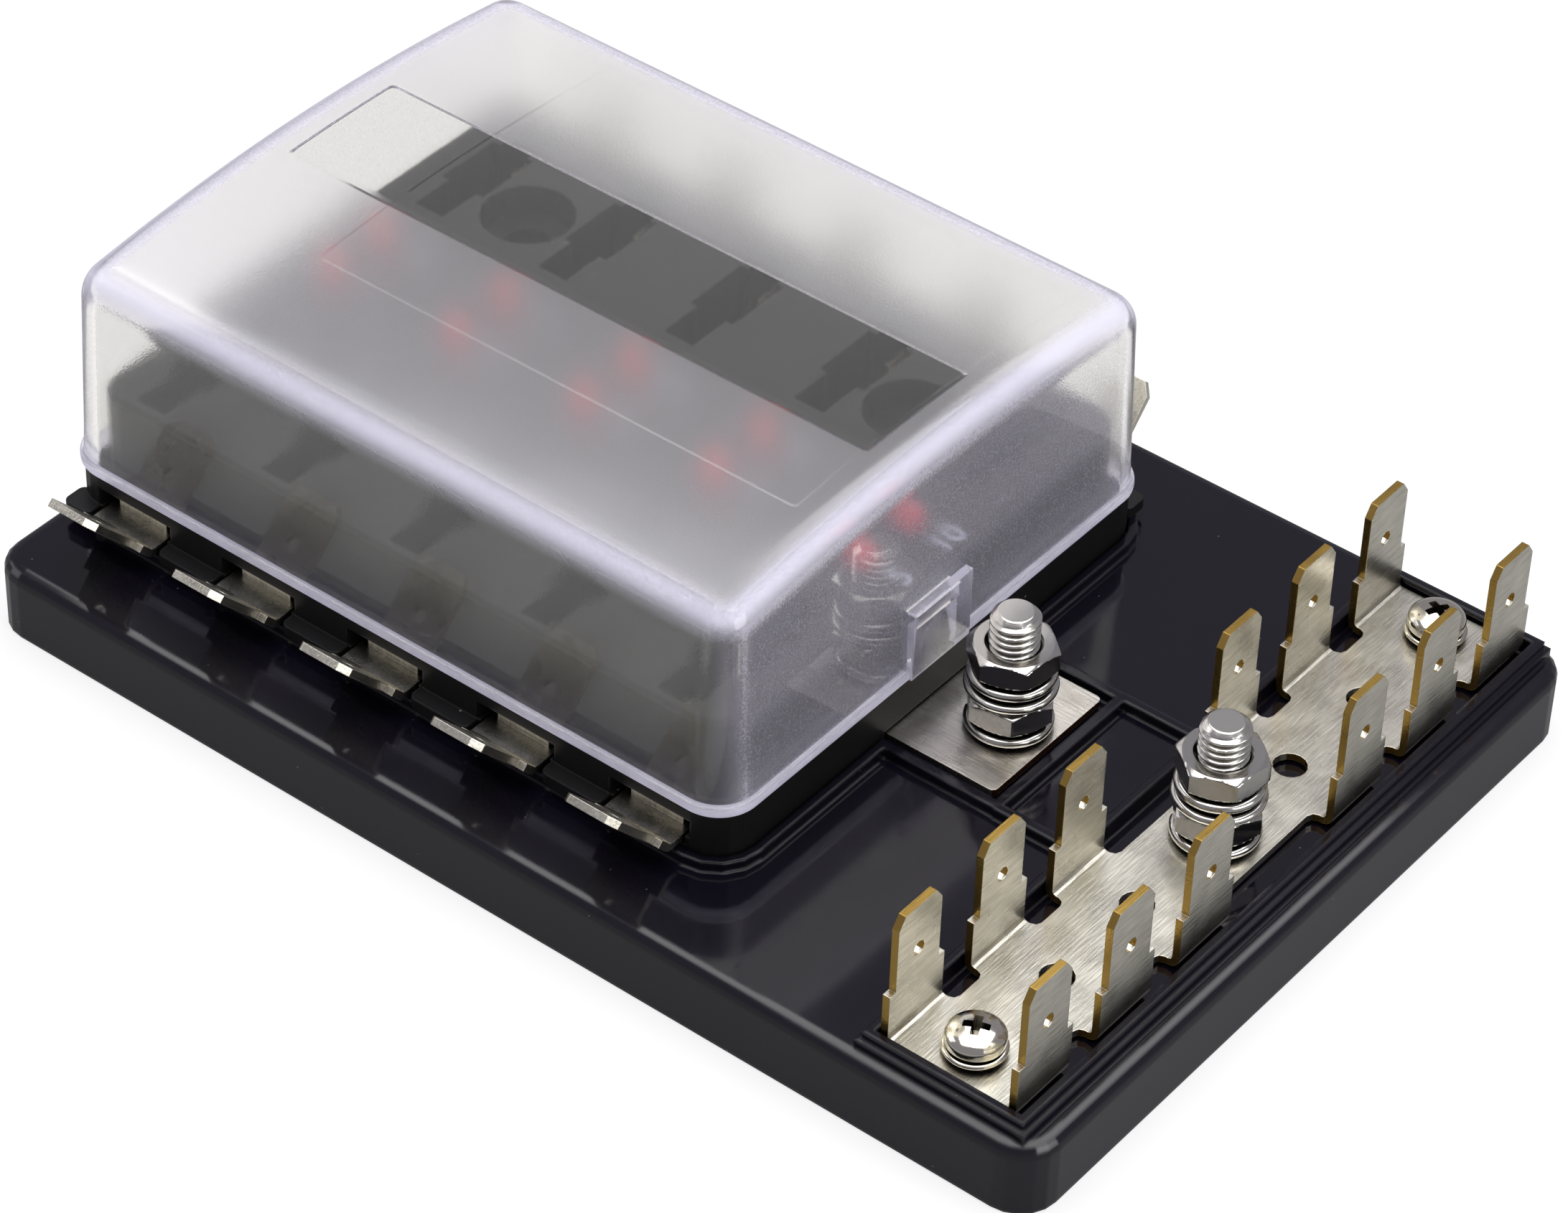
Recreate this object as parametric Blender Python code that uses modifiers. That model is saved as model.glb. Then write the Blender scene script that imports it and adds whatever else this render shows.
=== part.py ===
"""Ten-way blade fuse block with a lift-off clear cover, an input stud and a twelve-tab ground bar.

Metres, +Z up. The origin is at the centre of the base's footprint, on the surface it stands on.
+X runs along the base towards the ground bar, +Y across it.
"""

import math

import bmesh
import bpy
from mathutils import Matrix, Vector

# Base plate
BASE_HEIGHT = 0.0080
BASE_END_MARGIN = 0.0007
BASE_SIDE_MARGIN = 0.0112
BASE_CORNER = 0.0042
BASE_EDGE_ROUND = 0.0013
BASE_WALL = 0.0022
BASE_TOP = 0.0022
RIB_THICKNESS = 0.0012
RIB_FOOT_GAP = 0.0008
BOSS_WALL = 0.0016

# Clearances
SEAT_GAP = 0.0003
HOLE_CLEARANCE = 0.0003
SINK = 0.0004
OVERCUT = 0.0010
SLIVER = 0.0001

# Fuse positions
FUSE_PITCH = 0.0164
FUSE_COUNT = 5

# Housing and cover
HOUSING_END_WALL = 0.0008
HOUSING_CORNER = 0.0042
SKIRT_HEIGHT = 0.0055
BODY_END_STEP = 0.0024
BODY_SIDE_STEP = 0.0027
BODY_CORNER = 0.0035
BODY_FOOT_DEPTH = 0.0020
BODY_HEIGHT = 0.0094
BODY_EDGE_ROUND = 0.0005

COVER_RISE = 0.0230
COVER_ARCH = 0.0025
COVER_EDGE_ROUND = 0.0034
COVER_DRAFT = math.radians(2.2)
COVER_CORNER_STEPS = 5
COVER_ARCH_STEPS = 8
COVER_EDGE_STEPS = 5
COVER_WALL = 0.0017
LIP_OUT = 0.0004
LIP_HEIGHT = 0.0015

# Cover latch
LATCH_OFFSET_Y = -0.0013
LATCH_WIDTH = 0.0092
LATCH_CAP = 0.0008
LATCH_OUT = 0.0006
CATCH_OFFSET_Y = -0.0021
CATCH_WIDTH = 0.0062
CATCH_DROP = 0.0012
CATCH_HEIGHT = 0.0012
CATCH_REACH = 0.0016
REAR_CATCH_REACH = 0.0008
LATCH_SLOT_HEIGHT = 0.0008

# Fuse socket
SOCKET_INNER_Y = 0.0109
SOCKET_LENGTH = 0.0184
SOCKET_SLOT_WIDTH = 0.0037
SOCKET_BODY_WIDTH = 0.0055
SOCKET_BODY_LENGTH = 0.0080
SOCKET_BODY_DEPTH = 0.0065
SOCKET_SIDE_WALL = 0.0013
CLIP_LENGTH = 0.0042
CLIP_HEIGHT = 0.0095
CLIP_METAL = 0.0004
CLIP_PINCH = 0.0004
CLIP_FLARE = 0.0022

# Mounting holes through housing and base
MOUNT_HOLE_OFFSET_Y = 0.0033
MOUNT_HOLE_RADIUS = 0.00265
MOUNT_HEAD_RADIUS = 0.0050
MOUNT_HEAD_DEPTH = 0.0036

# Terminal windows and shelves in the housing's skirt
WINDOW_WIDTH = 0.0097
WINDOW_SILL_HEIGHT = 0.0010
WINDOW_HEIGHT = 0.0032
SHELF_REACH = 0.0019
SHELF_THICKNESS = 0.0012
FIRST_SHELF_LENGTH = 0.0034
SHELF_CORNER = 0.0008

# Plinth on the base, round the housing's foot
PLINTH_WALL = 0.0009
PLINTH_HEIGHT = 0.0012
PLINTH_END_GAP = 0.0016

# Spade tabs
TAB_METAL = 0.0008
TAB_WIDTH = 0.0063
TAB_SHOULDER_WIDTH = 0.00805
TAB_CHAMFER_IN = 0.0009
TAB_CHAMFER_DOWN = 0.0013
TAB_HOLE_RADIUS = 0.0008
TAB_TIP_TO_HOLE = 0.0054

# Fuse terminals
TERMINAL_TILT = math.radians(47)
TERMINAL_BEND_REACH = 0.0021
TERMINAL_BEND_ROUND = 0.0004
TERMINAL_TAB_LENGTH = 0.0106
TERMINAL_SHOULDER = 0.0021
TERMINAL_WEB_SETBACK = 0.0020

# Input busbar and its bay
INPUT_BAR_HALF_WIDTH = 0.0087
INPUT_BAR_REACH = 0.0128
INPUT_BAR_CORNER = 0.0006
INPUT_STUD_SETBACK = 0.0048
BAY_GAP = 0.0008
BAY_WALL = 0.0011
BAY_HEIGHT = 0.0012
POCKET_HALF_WIDTH = 0.0096

# Ground bar and its rim
GROUND_TAB_ROWS = (-3, -2, -1, 1, 2, 3)
GROUND_HOLE_ROWS = (-2, -1, 1, 2)
GROUND_SCREW_ROWS = (-3, 3)
GROUND_BAR_GAP = 0.0121
GROUND_TAB_SPAN = 0.0143
GROUND_END_MARGIN = 0.0047
GROUND_SIDE_MARGIN = 0.00715
GROUND_NOTCH = 0.0015
GROUND_NOTCH_ROUND = 0.0008
GROUND_BEND_ROUND = 0.0004
GROUND_TAB_RISE = 0.0140
GROUND_SHOULDER_RISE = 0.0053
GROUND_HOLE_RADIUS = 0.0017
RIM_WALL = 0.0009
RIM_HEIGHT = 0.0019
RIM_REACH = 0.0008
RIM_LEDGE = 0.0005
RIM_LEDGE_HEIGHT = 0.0010

# M5 studs, thin nuts and washers
STUD_RADIUS = 0.0025
STUD_RISE = 0.0141
STUD_TIP_CHAMFER = 0.0005
STUD_HEAD_FLATS = 0.0080
STUD_HEAD_HEIGHT = 0.0030
NUT_FLATS = 0.0080
NUT_HEIGHT = 0.0027
NUT_EASE = 0.0004
LOWER_NUT_TURN = math.radians(8)
UPPER_NUT_TURN = math.radians(22)
LOCK_WASHER_OUTER = 0.0044
LOCK_WASHER_HEIGHT = 0.0012
LOCK_WASHER_SLOT = 0.0008
LOCK_WASHER_SLANT = math.radians(25)
LOWER_SLOT_TURN = math.radians(200)
UPPER_SLOT_TURN = math.radians(150)
FLAT_WASHER_OUTER = 0.0046
FLAT_WASHER_HEIGHT = 0.0010

# M3 pan head screws on the ground bar
PAN_SHANK_RADIUS = 0.0015
PAN_SHANK_DEPTH = 0.0063
PAN_TIP_LENGTH = 0.0010
PAN_HEAD_RADIUS = 0.0029
PAN_HEAD_HEIGHT = 0.0020
PAN_EDGE_SHARE = 0.35
PAN_WASHER_OUTER = 0.0031
PAN_WASHER_HEIGHT = 0.0008
PAN_CROSS_SPAN = 0.0030
PAN_CROSS_WIDTH = 0.0006
PAN_CROSS_DEPTH = 0.0010
PAN_SLOT_TURN = math.radians(60)

# Screws from below into the housing
FIX_SHANK_RADIUS = 0.00135
FIX_HEAD_RADIUS = 0.0026
FIX_HEAD_HEIGHT = 0.0016
FIX_DEPTH = 0.0070
FIX_TIP_LENGTH = 0.0010
FIX_OFFSET_Y = 0.0005

# Indicators and their resistors
LED_Y = 0.0037
LED_RADIUS = 0.0015
LED_RISE = 0.0024
LED_FLANGE_RADIUS = 0.0019
LED_FLANGE_HEIGHT = 0.0006
LED_BODY_DEPTH = 0.0016
LED_LEAD_OFFSET = 0.00127
LED_LEAD_RADIUS = 0.00025
RESISTOR_OFFSET_X = 0.0036
RESISTOR_RADIUS = 0.0009
RESISTOR_LENGTH = 0.0052
RESISTOR_END_EASE = 0.0003
RESISTOR_OFFSET_Y = 0.0023
RESISTOR_LEAD_SETBACK = 0.0031
RESISTOR_DEPTH = 0.0108
LEAD_GROOVE_HALF = 0.0010

CORNER_STEPS = 5
ROUND_STEPS = 20
HOLE_STEPS = 16
SMALL_STEPS = 8

# Lengths and widths that follow from the sizes above
SOCKET_OUTER_Y = SOCKET_INNER_Y + SOCKET_LENGTH
SOCKET_MIDDLE_Y = SOCKET_INNER_Y + SOCKET_LENGTH / 2
BODY_WIDTH = 2 * (SOCKET_OUTER_Y + SOCKET_SIDE_WALL)
HOUSING_WIDTH = BODY_WIDTH + 2 * BODY_SIDE_STEP
HOUSING_LENGTH = FUSE_COUNT * FUSE_PITCH + 2 * HOUSING_END_WALL
BODY_LENGTH = HOUSING_LENGTH - 2 * BODY_END_STEP
BASE_WIDTH = HOUSING_WIDTH + 2 * BASE_SIDE_MARGIN
GROUND_REACH = GROUND_BAR_GAP + GROUND_TAB_SPAN + GROUND_END_MARGIN
BASE_LENGTH = BASE_END_MARGIN + HOUSING_LENGTH + INPUT_BAR_REACH + GROUND_REACH
HALF_LENGTH = BASE_LENGTH / 2
HALF_WIDTH = BASE_WIDTH / 2

# Places along X
HOUSING_CENTRE_X = BASE_END_MARGIN + HOUSING_LENGTH / 2 - HALF_LENGTH
HOUSING_END_X = HOUSING_CENTRE_X + HOUSING_LENGTH / 2
BODY_END_X = HOUSING_END_X - BODY_END_STEP
INPUT_BAR_END_X = HOUSING_END_X + INPUT_BAR_REACH
INPUT_STUD_X = INPUT_BAR_END_X - INPUT_STUD_SETBACK
GROUND_INNER_X = INPUT_BAR_END_X + GROUND_BAR_GAP
GROUND_OUTER_X = GROUND_INNER_X + GROUND_TAB_SPAN
GROUND_CENTRE_X = (GROUND_INNER_X + GROUND_OUTER_X) / 2

# Places along Y
GROUND_PITCH = (HALF_WIDTH - GROUND_SIDE_MARGIN) / GROUND_TAB_ROWS[-1]
MOUNT_HOLE_Y = SOCKET_MIDDLE_Y - MOUNT_HOLE_OFFSET_Y
FIX_Y = SOCKET_MIDDLE_Y - FIX_OFFSET_Y
RESISTOR_Y = SOCKET_MIDDLE_Y - RESISTOR_OFFSET_Y
RESISTOR_END_Y = SOCKET_OUTER_Y - RESISTOR_LEAD_SETBACK
TERMINAL_BEND_Y = HOUSING_WIDTH / 2 + TERMINAL_BEND_REACH
CLIP_HALF_WIDTH = SOCKET_SLOT_WIDTH / 2 - HOLE_CLEARANCE

# Levels
BAR_BOTTOM = BASE_HEIGHT + SEAT_GAP
BAR_TOP = BAR_BOTTOM + TAB_METAL
CHANNEL_TOP = BAR_TOP + SEAT_GAP
HOUSING_BOTTOM = BASE_HEIGHT + SEAT_GAP
SKIRT_TOP = HOUSING_BOTTOM + SKIRT_HEIGHT
BODY_TOP = SKIRT_TOP + BODY_HEIGHT
WINDOW_SILL = HOUSING_BOTTOM + WINDOW_SILL_HEIGHT
WINDOW_TOP = WINDOW_SILL + WINDOW_HEIGHT
RESISTOR_Z = BODY_TOP - RESISTOR_DEPTH
PAN_SHANK_END_Z = BAR_BOTTOM - PAN_SHANK_DEPTH
COVER_BOTTOM = SKIRT_TOP + SEAT_GAP
COVER_EDGE_Z = COVER_BOTTOM + COVER_RISE
CATCH_TOP = BODY_TOP - BODY_EDGE_ROUND - CATCH_DROP
LATCH_TOP = CATCH_TOP + LATCH_CAP
LEG_BOTTOM = WINDOW_SILL + SEAT_GAP
LEG_TOP = LEG_BOTTOM + TAB_METAL
STUD_TOP = BAR_TOP + STUD_RISE
FIX_HEAD_Z = BASE_HEIGHT - BASE_TOP - FIX_HEAD_HEIGHT - SEAT_GAP


def fuse_x(index):
    """X of fuse position 0 to 4, from the housing's end towards the input stud."""
    return HOUSING_CENTRE_X + (index - (FUSE_COUNT - 1) / 2) * FUSE_PITCH


def clear_scene():
    for item in list(bpy.data.objects):
        bpy.data.objects.remove(item)


def new_collection(name):
    made = bpy.data.collections.new(name)
    bpy.context.scene.collection.children.link(made)
    return made


clear_scene()
PARTS = new_collection("blade_fuse_block")
CUTTERS = new_collection("cutters")


def material(name, colour, roughness, metallic=0.0, transmission=0.0):
    made = bpy.data.materials.new(name)
    made.use_nodes = True
    shader = made.node_tree.nodes["Principled BSDF"]
    shader.inputs["Base Color"].default_value = (*colour, 1.0)
    shader.inputs["Roughness"].default_value = roughness
    shader.inputs["Metallic"].default_value = metallic
    shader.inputs["Transmission Weight"].default_value = transmission
    return made


BLACK_ABS = material("black_abs", (0.012, 0.011, 0.014), 0.25)
BLACK_NYLON = material("black_nylon", (0.014, 0.013, 0.014), 0.4)
FROSTED_CLEAR = material("frosted_polycarbonate", (0.85, 0.85, 0.88), 0.3, 0.0, 0.9)
TINNED_COPPER = material("tinned_copper", (0.62, 0.60, 0.56), 0.3, 1.0)
TINNED_BRASS = material("tinned_brass", (0.60, 0.56, 0.47), 0.32, 1.0)
STAINLESS = material("stainless_steel", (0.58, 0.57, 0.55), 0.22, 1.0)
NICKEL_STEEL = material("nickel_plated_steel", (0.66, 0.63, 0.57), 0.2, 1.0)
ZINC_STEEL = material("zinc_plated_steel", (0.55, 0.56, 0.58), 0.3, 1.0)
RED_EPOXY = material("red_epoxy", (0.6, 0.02, 0.03), 0.2)
RESISTOR_LACQUER = material("resistor_lacquer", (0.62, 0.47, 0.29), 0.45)


def add_object(name, mesh, collection=None, look=None):
    """Links a mesh as a named object, by default among the cutters."""
    made = bpy.data.objects.new(name, mesh)
    home = collection or CUTTERS
    home.objects.link(made)
    if home is PARTS:
        mesh.materials.clear()
        mesh.materials.append(look)
    else:
        made.hide_render = True
        made.display_type = "WIRE"
    return made


def from_bmesh(name, shape, collection=None, look=None):
    bmesh.ops.recalc_face_normals(shape, faces=shape.faces)
    mesh = bpy.data.meshes.new(name)
    shape.to_mesh(mesh)
    shape.free()
    return add_object(name, mesh, collection, look)


def is_vertical(edge):
    low, high = edge.verts
    return abs(low.co.z - high.co.z) > 0.9 * edge.calc_length()


def block_shape(low, high, corner=0.0, steps=4):
    """A box between two corners, with its upright edges rounded when corner is set."""
    shape = bmesh.new()
    bmesh.ops.create_cube(shape, size=1.0)
    size = [b - a for a, b in zip(low, high)]
    middle = [(a + b) / 2 for a, b in zip(low, high)]
    bmesh.ops.scale(shape, vec=size, verts=shape.verts)
    bmesh.ops.translate(shape, vec=middle, verts=shape.verts)
    if corner > 0:
        upright = [edge for edge in shape.edges if is_vertical(edge)]
        bmesh.ops.bevel(shape, geom=upright, offset=corner, segments=steps, profile=0.5,
                        affect="EDGES")
    return shape


def block(name, low, high, corner=0.0, steps=4, collection=None, look=None):
    return from_bmesh(name, block_shape(low, high, corner, steps), collection, look)


def centred(x, y, z0, z1, length, width):
    """The two corners of a box centred on x and y."""
    return (x - length / 2, y - width / 2, z0), (x + length / 2, y + width / 2, z1)


def cylinder(name, x, y, z0, z1, radius, steps=ROUND_STEPS, collection=None, look=None):
    shape = bmesh.new()
    bmesh.ops.create_cone(shape, cap_ends=True, segments=steps, radius1=radius,
                          radius2=radius, depth=z1 - z0)
    bmesh.ops.translate(shape, vec=(x, y, (z0 + z1) / 2), verts=shape.verts)
    return from_bmesh(name, shape, collection, look)


def turned(name, profile, x, y, z, steps=ROUND_STEPS, collection=None, look=None):
    """Turns a profile of (radius, height) points, outer side first from the top, about Z."""
    mesh = bpy.data.meshes.new(name)
    points = [(radius, 0.0, height) for radius, height in profile]
    closed = profile[0][0] > 0 and profile[-1][0] > 0
    edges = [(i, i + 1) for i in range(len(points) - 1)]
    if closed:
        edges.append((len(points) - 1, 0))
    mesh.from_pydata(points, edges, [])
    made = add_object(name, mesh, collection, look)
    made.location = (x, y, z)
    screw = made.modifiers.new("turn", "SCREW")
    screw.steps = steps
    screw.render_steps = steps
    screw.use_merge_vertices = True
    screw.merge_threshold = 0.00001
    return made


def arc(centre, radius, start, end, steps):
    """Points of an arc in a plane, both ends included."""
    angles = [start + (end - start) * i / steps for i in range(steps + 1)]
    return [(centre[0] + radius * math.cos(a), centre[1] + radius * math.sin(a))
            for a in angles]


def rounded_outline(corners, steps=3):
    """Rounds the corners of a closed outline given as (x, y, radius)."""
    points = []
    for i, (x, y, radius) in enumerate(corners):
        here = Vector((x, y))
        back = Vector(corners[i - 1][:2]) - here
        ahead = Vector(corners[(i + 1) % len(corners)][:2]) - here
        if radius == 0:
            points.append((x, y))
            continue
        back.normalize()
        ahead.normalize()
        half = back.angle(ahead) / 2
        reach = radius / math.tan(half)
        middle = here + (back + ahead).normalized() * (radius / math.sin(half))
        first = here + back * reach - middle
        turn = first.angle_signed(here + ahead * reach - middle)
        for step in range(steps + 1):
            angle = -turn * step / steps
            spin = Matrix.Rotation(angle, 2)
            points.append(tuple(middle + spin @ first))
    return points


def circle(x, y, radius, steps=SMALL_STEPS):
    return arc((x, y), radius, 0, 2 * math.pi * (steps - 1) / steps, steps - 1)


def sheet(name, outlines, thickness, place=None, collection=None, look=None):
    """A flat sheet from closed outlines in its own XY plane; the second and later are holes."""
    curve = bpy.data.curves.new(name, "CURVE")
    curve.dimensions = "2D"
    curve.fill_mode = "BOTH"
    curve.extrude = thickness / 2
    for outline in outlines:
        spline = curve.splines.new("POLY")
        spline.points.add(len(outline) - 1)
        for point, (x, y) in zip(spline.points, outline):
            point.co = (x, y, 0.0, 1.0)
        spline.use_cyclic_u = True
    return curve_to_mesh(name, curve, place, collection, look)


def curve_to_mesh(name, curve, place=None, collection=None, look=None):
    """Turns a curve into a closed mesh whose points lie where the placed curve has them."""
    guide = bpy.data.objects.new(name + "_guide", curve)
    CUTTERS.objects.link(guide)
    guide.matrix_world = place or Matrix()
    bpy.context.view_layer.update()
    seen = guide.evaluated_get(bpy.context.evaluated_depsgraph_get())
    mesh = bpy.data.meshes.new_from_object(seen)
    shape = bmesh.new()
    shape.from_mesh(mesh)
    bmesh.ops.remove_doubles(shape, verts=shape.verts, dist=0.000001)
    shape.transform(guide.matrix_world)
    bpy.data.objects.remove(guide)
    bpy.data.curves.remove(curve)
    bpy.data.meshes.remove(mesh)
    return from_bmesh(name, shape, collection, look)


def wire(name, points, radius, collection=None, look=None):
    """A round wire along straight runs."""
    curve = bpy.data.curves.new(name, "CURVE")
    curve.dimensions = "3D"
    curve.bevel_depth = radius
    curve.bevel_resolution = 0
    curve.use_fill_caps = True
    spline = curve.splines.new("POLY")
    spline.points.add(len(points) - 1)
    for point, place in zip(spline.points, points):
        point.co = (*place, 1.0)
    return curve_to_mesh(name, curve, None, collection, look)


def gather(name, pieces):
    """Puts cutters or additions in a collection of their own for one Boolean."""
    group = bpy.data.collections.new(name)
    CUTTERS.children.link(group)
    for piece in pieces:
        CUTTERS.objects.unlink(piece)
        group.objects.link(piece)
    return group


def combine(target, pieces, operation):
    """Adds one exact Boolean of all the pieces to the target."""
    group = gather(target.name + "_" + operation.lower(), pieces)
    modifier = target.modifiers.new(operation.lower(), "BOOLEAN")
    modifier.operation = operation
    modifier.solver = "EXACT"
    modifier.operand_type = "COLLECTION"
    modifier.collection = group
    modifier.use_self = True


def freeze(target):
    """Replaces an object's mesh by its evaluated mesh and drops its modifiers."""
    bpy.context.view_layer.update()
    seen = target.evaluated_get(bpy.context.evaluated_depsgraph_get())
    mesh = bpy.data.meshes.new_from_object(seen)
    target.modifiers.clear()
    mesh.name = target.name
    target.data = mesh
    return target


def turn_about(piece, x, y):
    """Turns a piece half round the upright line through x and y."""
    spin = Matrix.Translation((x, y, 0)) @ Matrix.Rotation(math.pi, 4, "Z")
    piece.data.transform(spin @ Matrix.Translation((-x, -y, 0)))
    return piece


def smooth(piece, angle=35):
    piece.data.shade_smooth()
    piece.data.set_sharp_from_angle(angle=math.radians(angle))


def mount_hole_places():
    half_span = (FUSE_COUNT - 2) / 2 * FUSE_PITCH
    return [(HOUSING_CENTRE_X + side * half_span, row * MOUNT_HOLE_Y)
            for side in (-1, 1) for row in (-1, 1)]


def fixing_places():
    return [(HOUSING_CENTRE_X + side * FUSE_PITCH / 2, row * FIX_Y)
            for side in (-1, 1) for row in (-1, 1)]


def frame_pieces(name, low, high, wall, z0, z1, corner=0.0):
    """An upright wall round a rectangle, as one ring; low and high are its inner corners."""
    outer = block(name, (low[0] - wall, low[1] - wall, z0), (high[0] + wall, high[1] + wall, z1),
                  corner + wall if corner else 0.0)
    inner = block(name + "_hole", (low[0], low[1], z0 - OVERCUT), (high[0], high[1], z1 + OVERCUT),
                  corner)
    combine(outer, [inner], "DIFFERENCE")
    return freeze(outer)


def base_additions():
    """Everything that stands on the base tray or hangs under it."""
    foot = BASE_HEIGHT - SINK
    half_length = HOUSING_LENGTH / 2 + SEAT_GAP
    half_width = HOUSING_WIDTH / 2 + SEAT_GAP
    plinth = frame_pieces("plinth", (HOUSING_CENTRE_X - half_length, -half_width),
                          (HOUSING_CENTRE_X + half_length, half_width), PLINTH_WALL,
                          foot, BASE_HEIGHT + PLINTH_HEIGHT, HOUSING_CORNER + SEAT_GAP)
    reach = HALF_LENGTH + OVERCUT
    bay_inner = INPUT_BAR_HALF_WIDTH + BAY_GAP
    plinth_end = HOUSING_CENTRE_X + half_length + PLINTH_WALL
    trims = [block("plinth_trim", (-reach, -reach, 0.0),
                   (PLINTH_END_GAP - HALF_LENGTH, reach, SKIRT_TOP)),
             block("bar_passage", (HOUSING_CENTRE_X, -bay_inner, 0.0),
                   (reach, bay_inner, SKIRT_TOP))]
    combine(plinth, trims, "DIFFERENCE")
    freeze(plinth)

    bay_end = INPUT_BAR_END_X + BAY_GAP
    rim_start = GROUND_INNER_X - TAB_METAL / 2 - SEAT_GAP
    bay_top = BASE_HEIGHT + BAY_HEIGHT
    pieces = [plinth]
    for side in (-1, 1):
        near, far = sorted((side * bay_inner, side * (bay_inner + BAY_WALL)))
        pieces.append(block("bay_rail", (plinth_end - SINK, near, foot),
                            (bay_end + BAY_WALL, far, bay_top)))
        near, far = sorted((side * POCKET_HALF_WIDTH, side * (POCKET_HALF_WIDTH + BAY_WALL)))
        pieces.append(block("pocket_rail", (bay_end + BAY_WALL / 2, near, foot),
                            (rim_start - RIM_WALL + SINK, far, bay_top)))
    pieces.append(block("bay_end_wall", (bay_end, -bay_inner - SINK, foot),
                        (bay_end + BAY_WALL, bay_inner + SINK, bay_top)))

    bar_end = GROUND_TAB_ROWS[-1] * GROUND_PITCH + TAB_SHOULDER_WIDTH / 2 + SEAT_GAP
    rim_end = GROUND_OUTER_X + TAB_METAL / 2 + RIM_REACH
    for wall, height in ((RIM_WALL, RIM_HEIGHT), (RIM_WALL + RIM_LEDGE, RIM_LEDGE_HEIGHT)):
        pieces.append(frame_pieces("ground_rim", (rim_start, -bar_end), (rim_end, bar_end),
                                   wall, foot, BASE_HEIGHT + height))

    under = BASE_HEIGHT - BASE_TOP + SINK
    for x in sorted({x for x, y in mount_hole_places()} | {INPUT_STUD_X}):
        pieces.append(block("cross_rib", *centred(x, 0, RIB_FOOT_GAP, under, RIB_THICKNESS,
                                                  BASE_WIDTH - BASE_WALL)))
    for x, y in mount_hole_places():
        pieces.append(cylinder("mount_boss", x, y, 0.0, under, MOUNT_HOLE_RADIUS + BOSS_WALL,
                               HOLE_STEPS))
    for x, y in fixing_places():
        pieces.append(cylinder("fixing_boss", x, y, RIB_FOOT_GAP, under,
                               FIX_HEAD_RADIUS + HOLE_CLEARANCE + BOSS_WALL, HOLE_STEPS))
    for row in GROUND_SCREW_ROWS:
        pieces.append(cylinder("screw_boss", GROUND_CENTRE_X, row * GROUND_PITCH, RIB_FOOT_GAP,
                               under, PAN_SHANK_RADIUS + 2 * BOSS_WALL, HOLE_STEPS))
    for x in (INPUT_STUD_X, GROUND_CENTRE_X):
        pieces.append(cylinder("stud_boss", x, 0, RIB_FOOT_GAP, under,
                               STUD_HEAD_FLATS / 2 / math.cos(math.pi / 6) + BOSS_WALL,
                               HOLE_STEPS))
    return pieces


def base_cutters():
    """Holes through the base for mounting, fixing, studs and screws."""
    over = BASE_HEIGHT + OVERCUT
    pieces = []
    for x, y in mount_hole_places():
        pieces.append(cylinder("mount_hole", x, y, -OVERCUT, over, MOUNT_HOLE_RADIUS, HOLE_STEPS))
    for x, y in fixing_places():
        pieces.append(cylinder("fixing_hole", x, y, -OVERCUT, over,
                               FIX_SHANK_RADIUS + HOLE_CLEARANCE, SMALL_STEPS))
        pieces.append(cylinder("fixing_head_pocket", x, y, -OVERCUT, BASE_HEIGHT - BASE_TOP,
                               FIX_HEAD_RADIUS + HOLE_CLEARANCE, HOLE_STEPS))
    for row in GROUND_SCREW_ROWS:
        pieces.append(cylinder("screw_hole", GROUND_CENTRE_X, row * GROUND_PITCH,
                               PAN_SHANK_END_Z - SEAT_GAP, over,
                               PAN_SHANK_RADIUS + HOLE_CLEARANCE, SMALL_STEPS))
    for x in (INPUT_STUD_X, GROUND_CENTRE_X):
        pieces.append(cylinder("stud_hole", x, 0, -OVERCUT, over,
                               STUD_RADIUS + HOLE_CLEARANCE))
        pocket = STUD_HEAD_FLATS / 2 / math.cos(math.pi / 6) + HOLE_CLEARANCE
        pieces.append(cylinder("head_pocket", x, 0, -OVERCUT, BASE_HEIGHT - BASE_TOP,
                               pocket, 6))
    return pieces


def make_base():
    """Moulded tray: rounded top edge, hollow under its top, ribs, bosses, plinth and rims."""
    shape = block_shape((-HALF_LENGTH, -HALF_WIDTH, 0), (HALF_LENGTH, HALF_WIDTH, BASE_HEIGHT),
                        BASE_CORNER, CORNER_STEPS)
    top = [edge for edge in shape.edges
           if all(abs(vert.co.z - BASE_HEIGHT) < 1e-6 for vert in edge.verts)]
    bmesh.ops.bevel(shape, geom=top, offset=BASE_EDGE_ROUND, segments=3, profile=0.5,
                    affect="EDGES")
    base = from_bmesh("base_plate", shape, PARTS, BLACK_ABS)
    hollow = block("tray_hollow", (-HALF_LENGTH + BASE_WALL, -HALF_WIDTH + BASE_WALL, -OVERCUT),
                   (HALF_LENGTH - BASE_WALL, HALF_WIDTH - BASE_WALL, BASE_HEIGHT - BASE_TOP),
                   BASE_CORNER - BASE_WALL, 4)
    combine(base, [hollow], "DIFFERENCE")
    combine(base, base_additions(), "UNION")
    combine(base, base_cutters(), "DIFFERENCE")
    freeze(base)
    smooth(base)
    return base


def shelf_spans():
    """Start and end in X of the shelf left of each terminal on the near side."""
    half_leg = TAB_SHOULDER_WIDTH / 2 + 2 * HOLE_CLEARANCE
    spans = []
    for index in range(FUSE_COUNT):
        end = fuse_x(index) - half_leg
        start = end - FIRST_SHELF_LENGTH if index == 0 else fuse_x(index - 1) + half_leg
        spans.append((start, end))
    return spans


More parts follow.
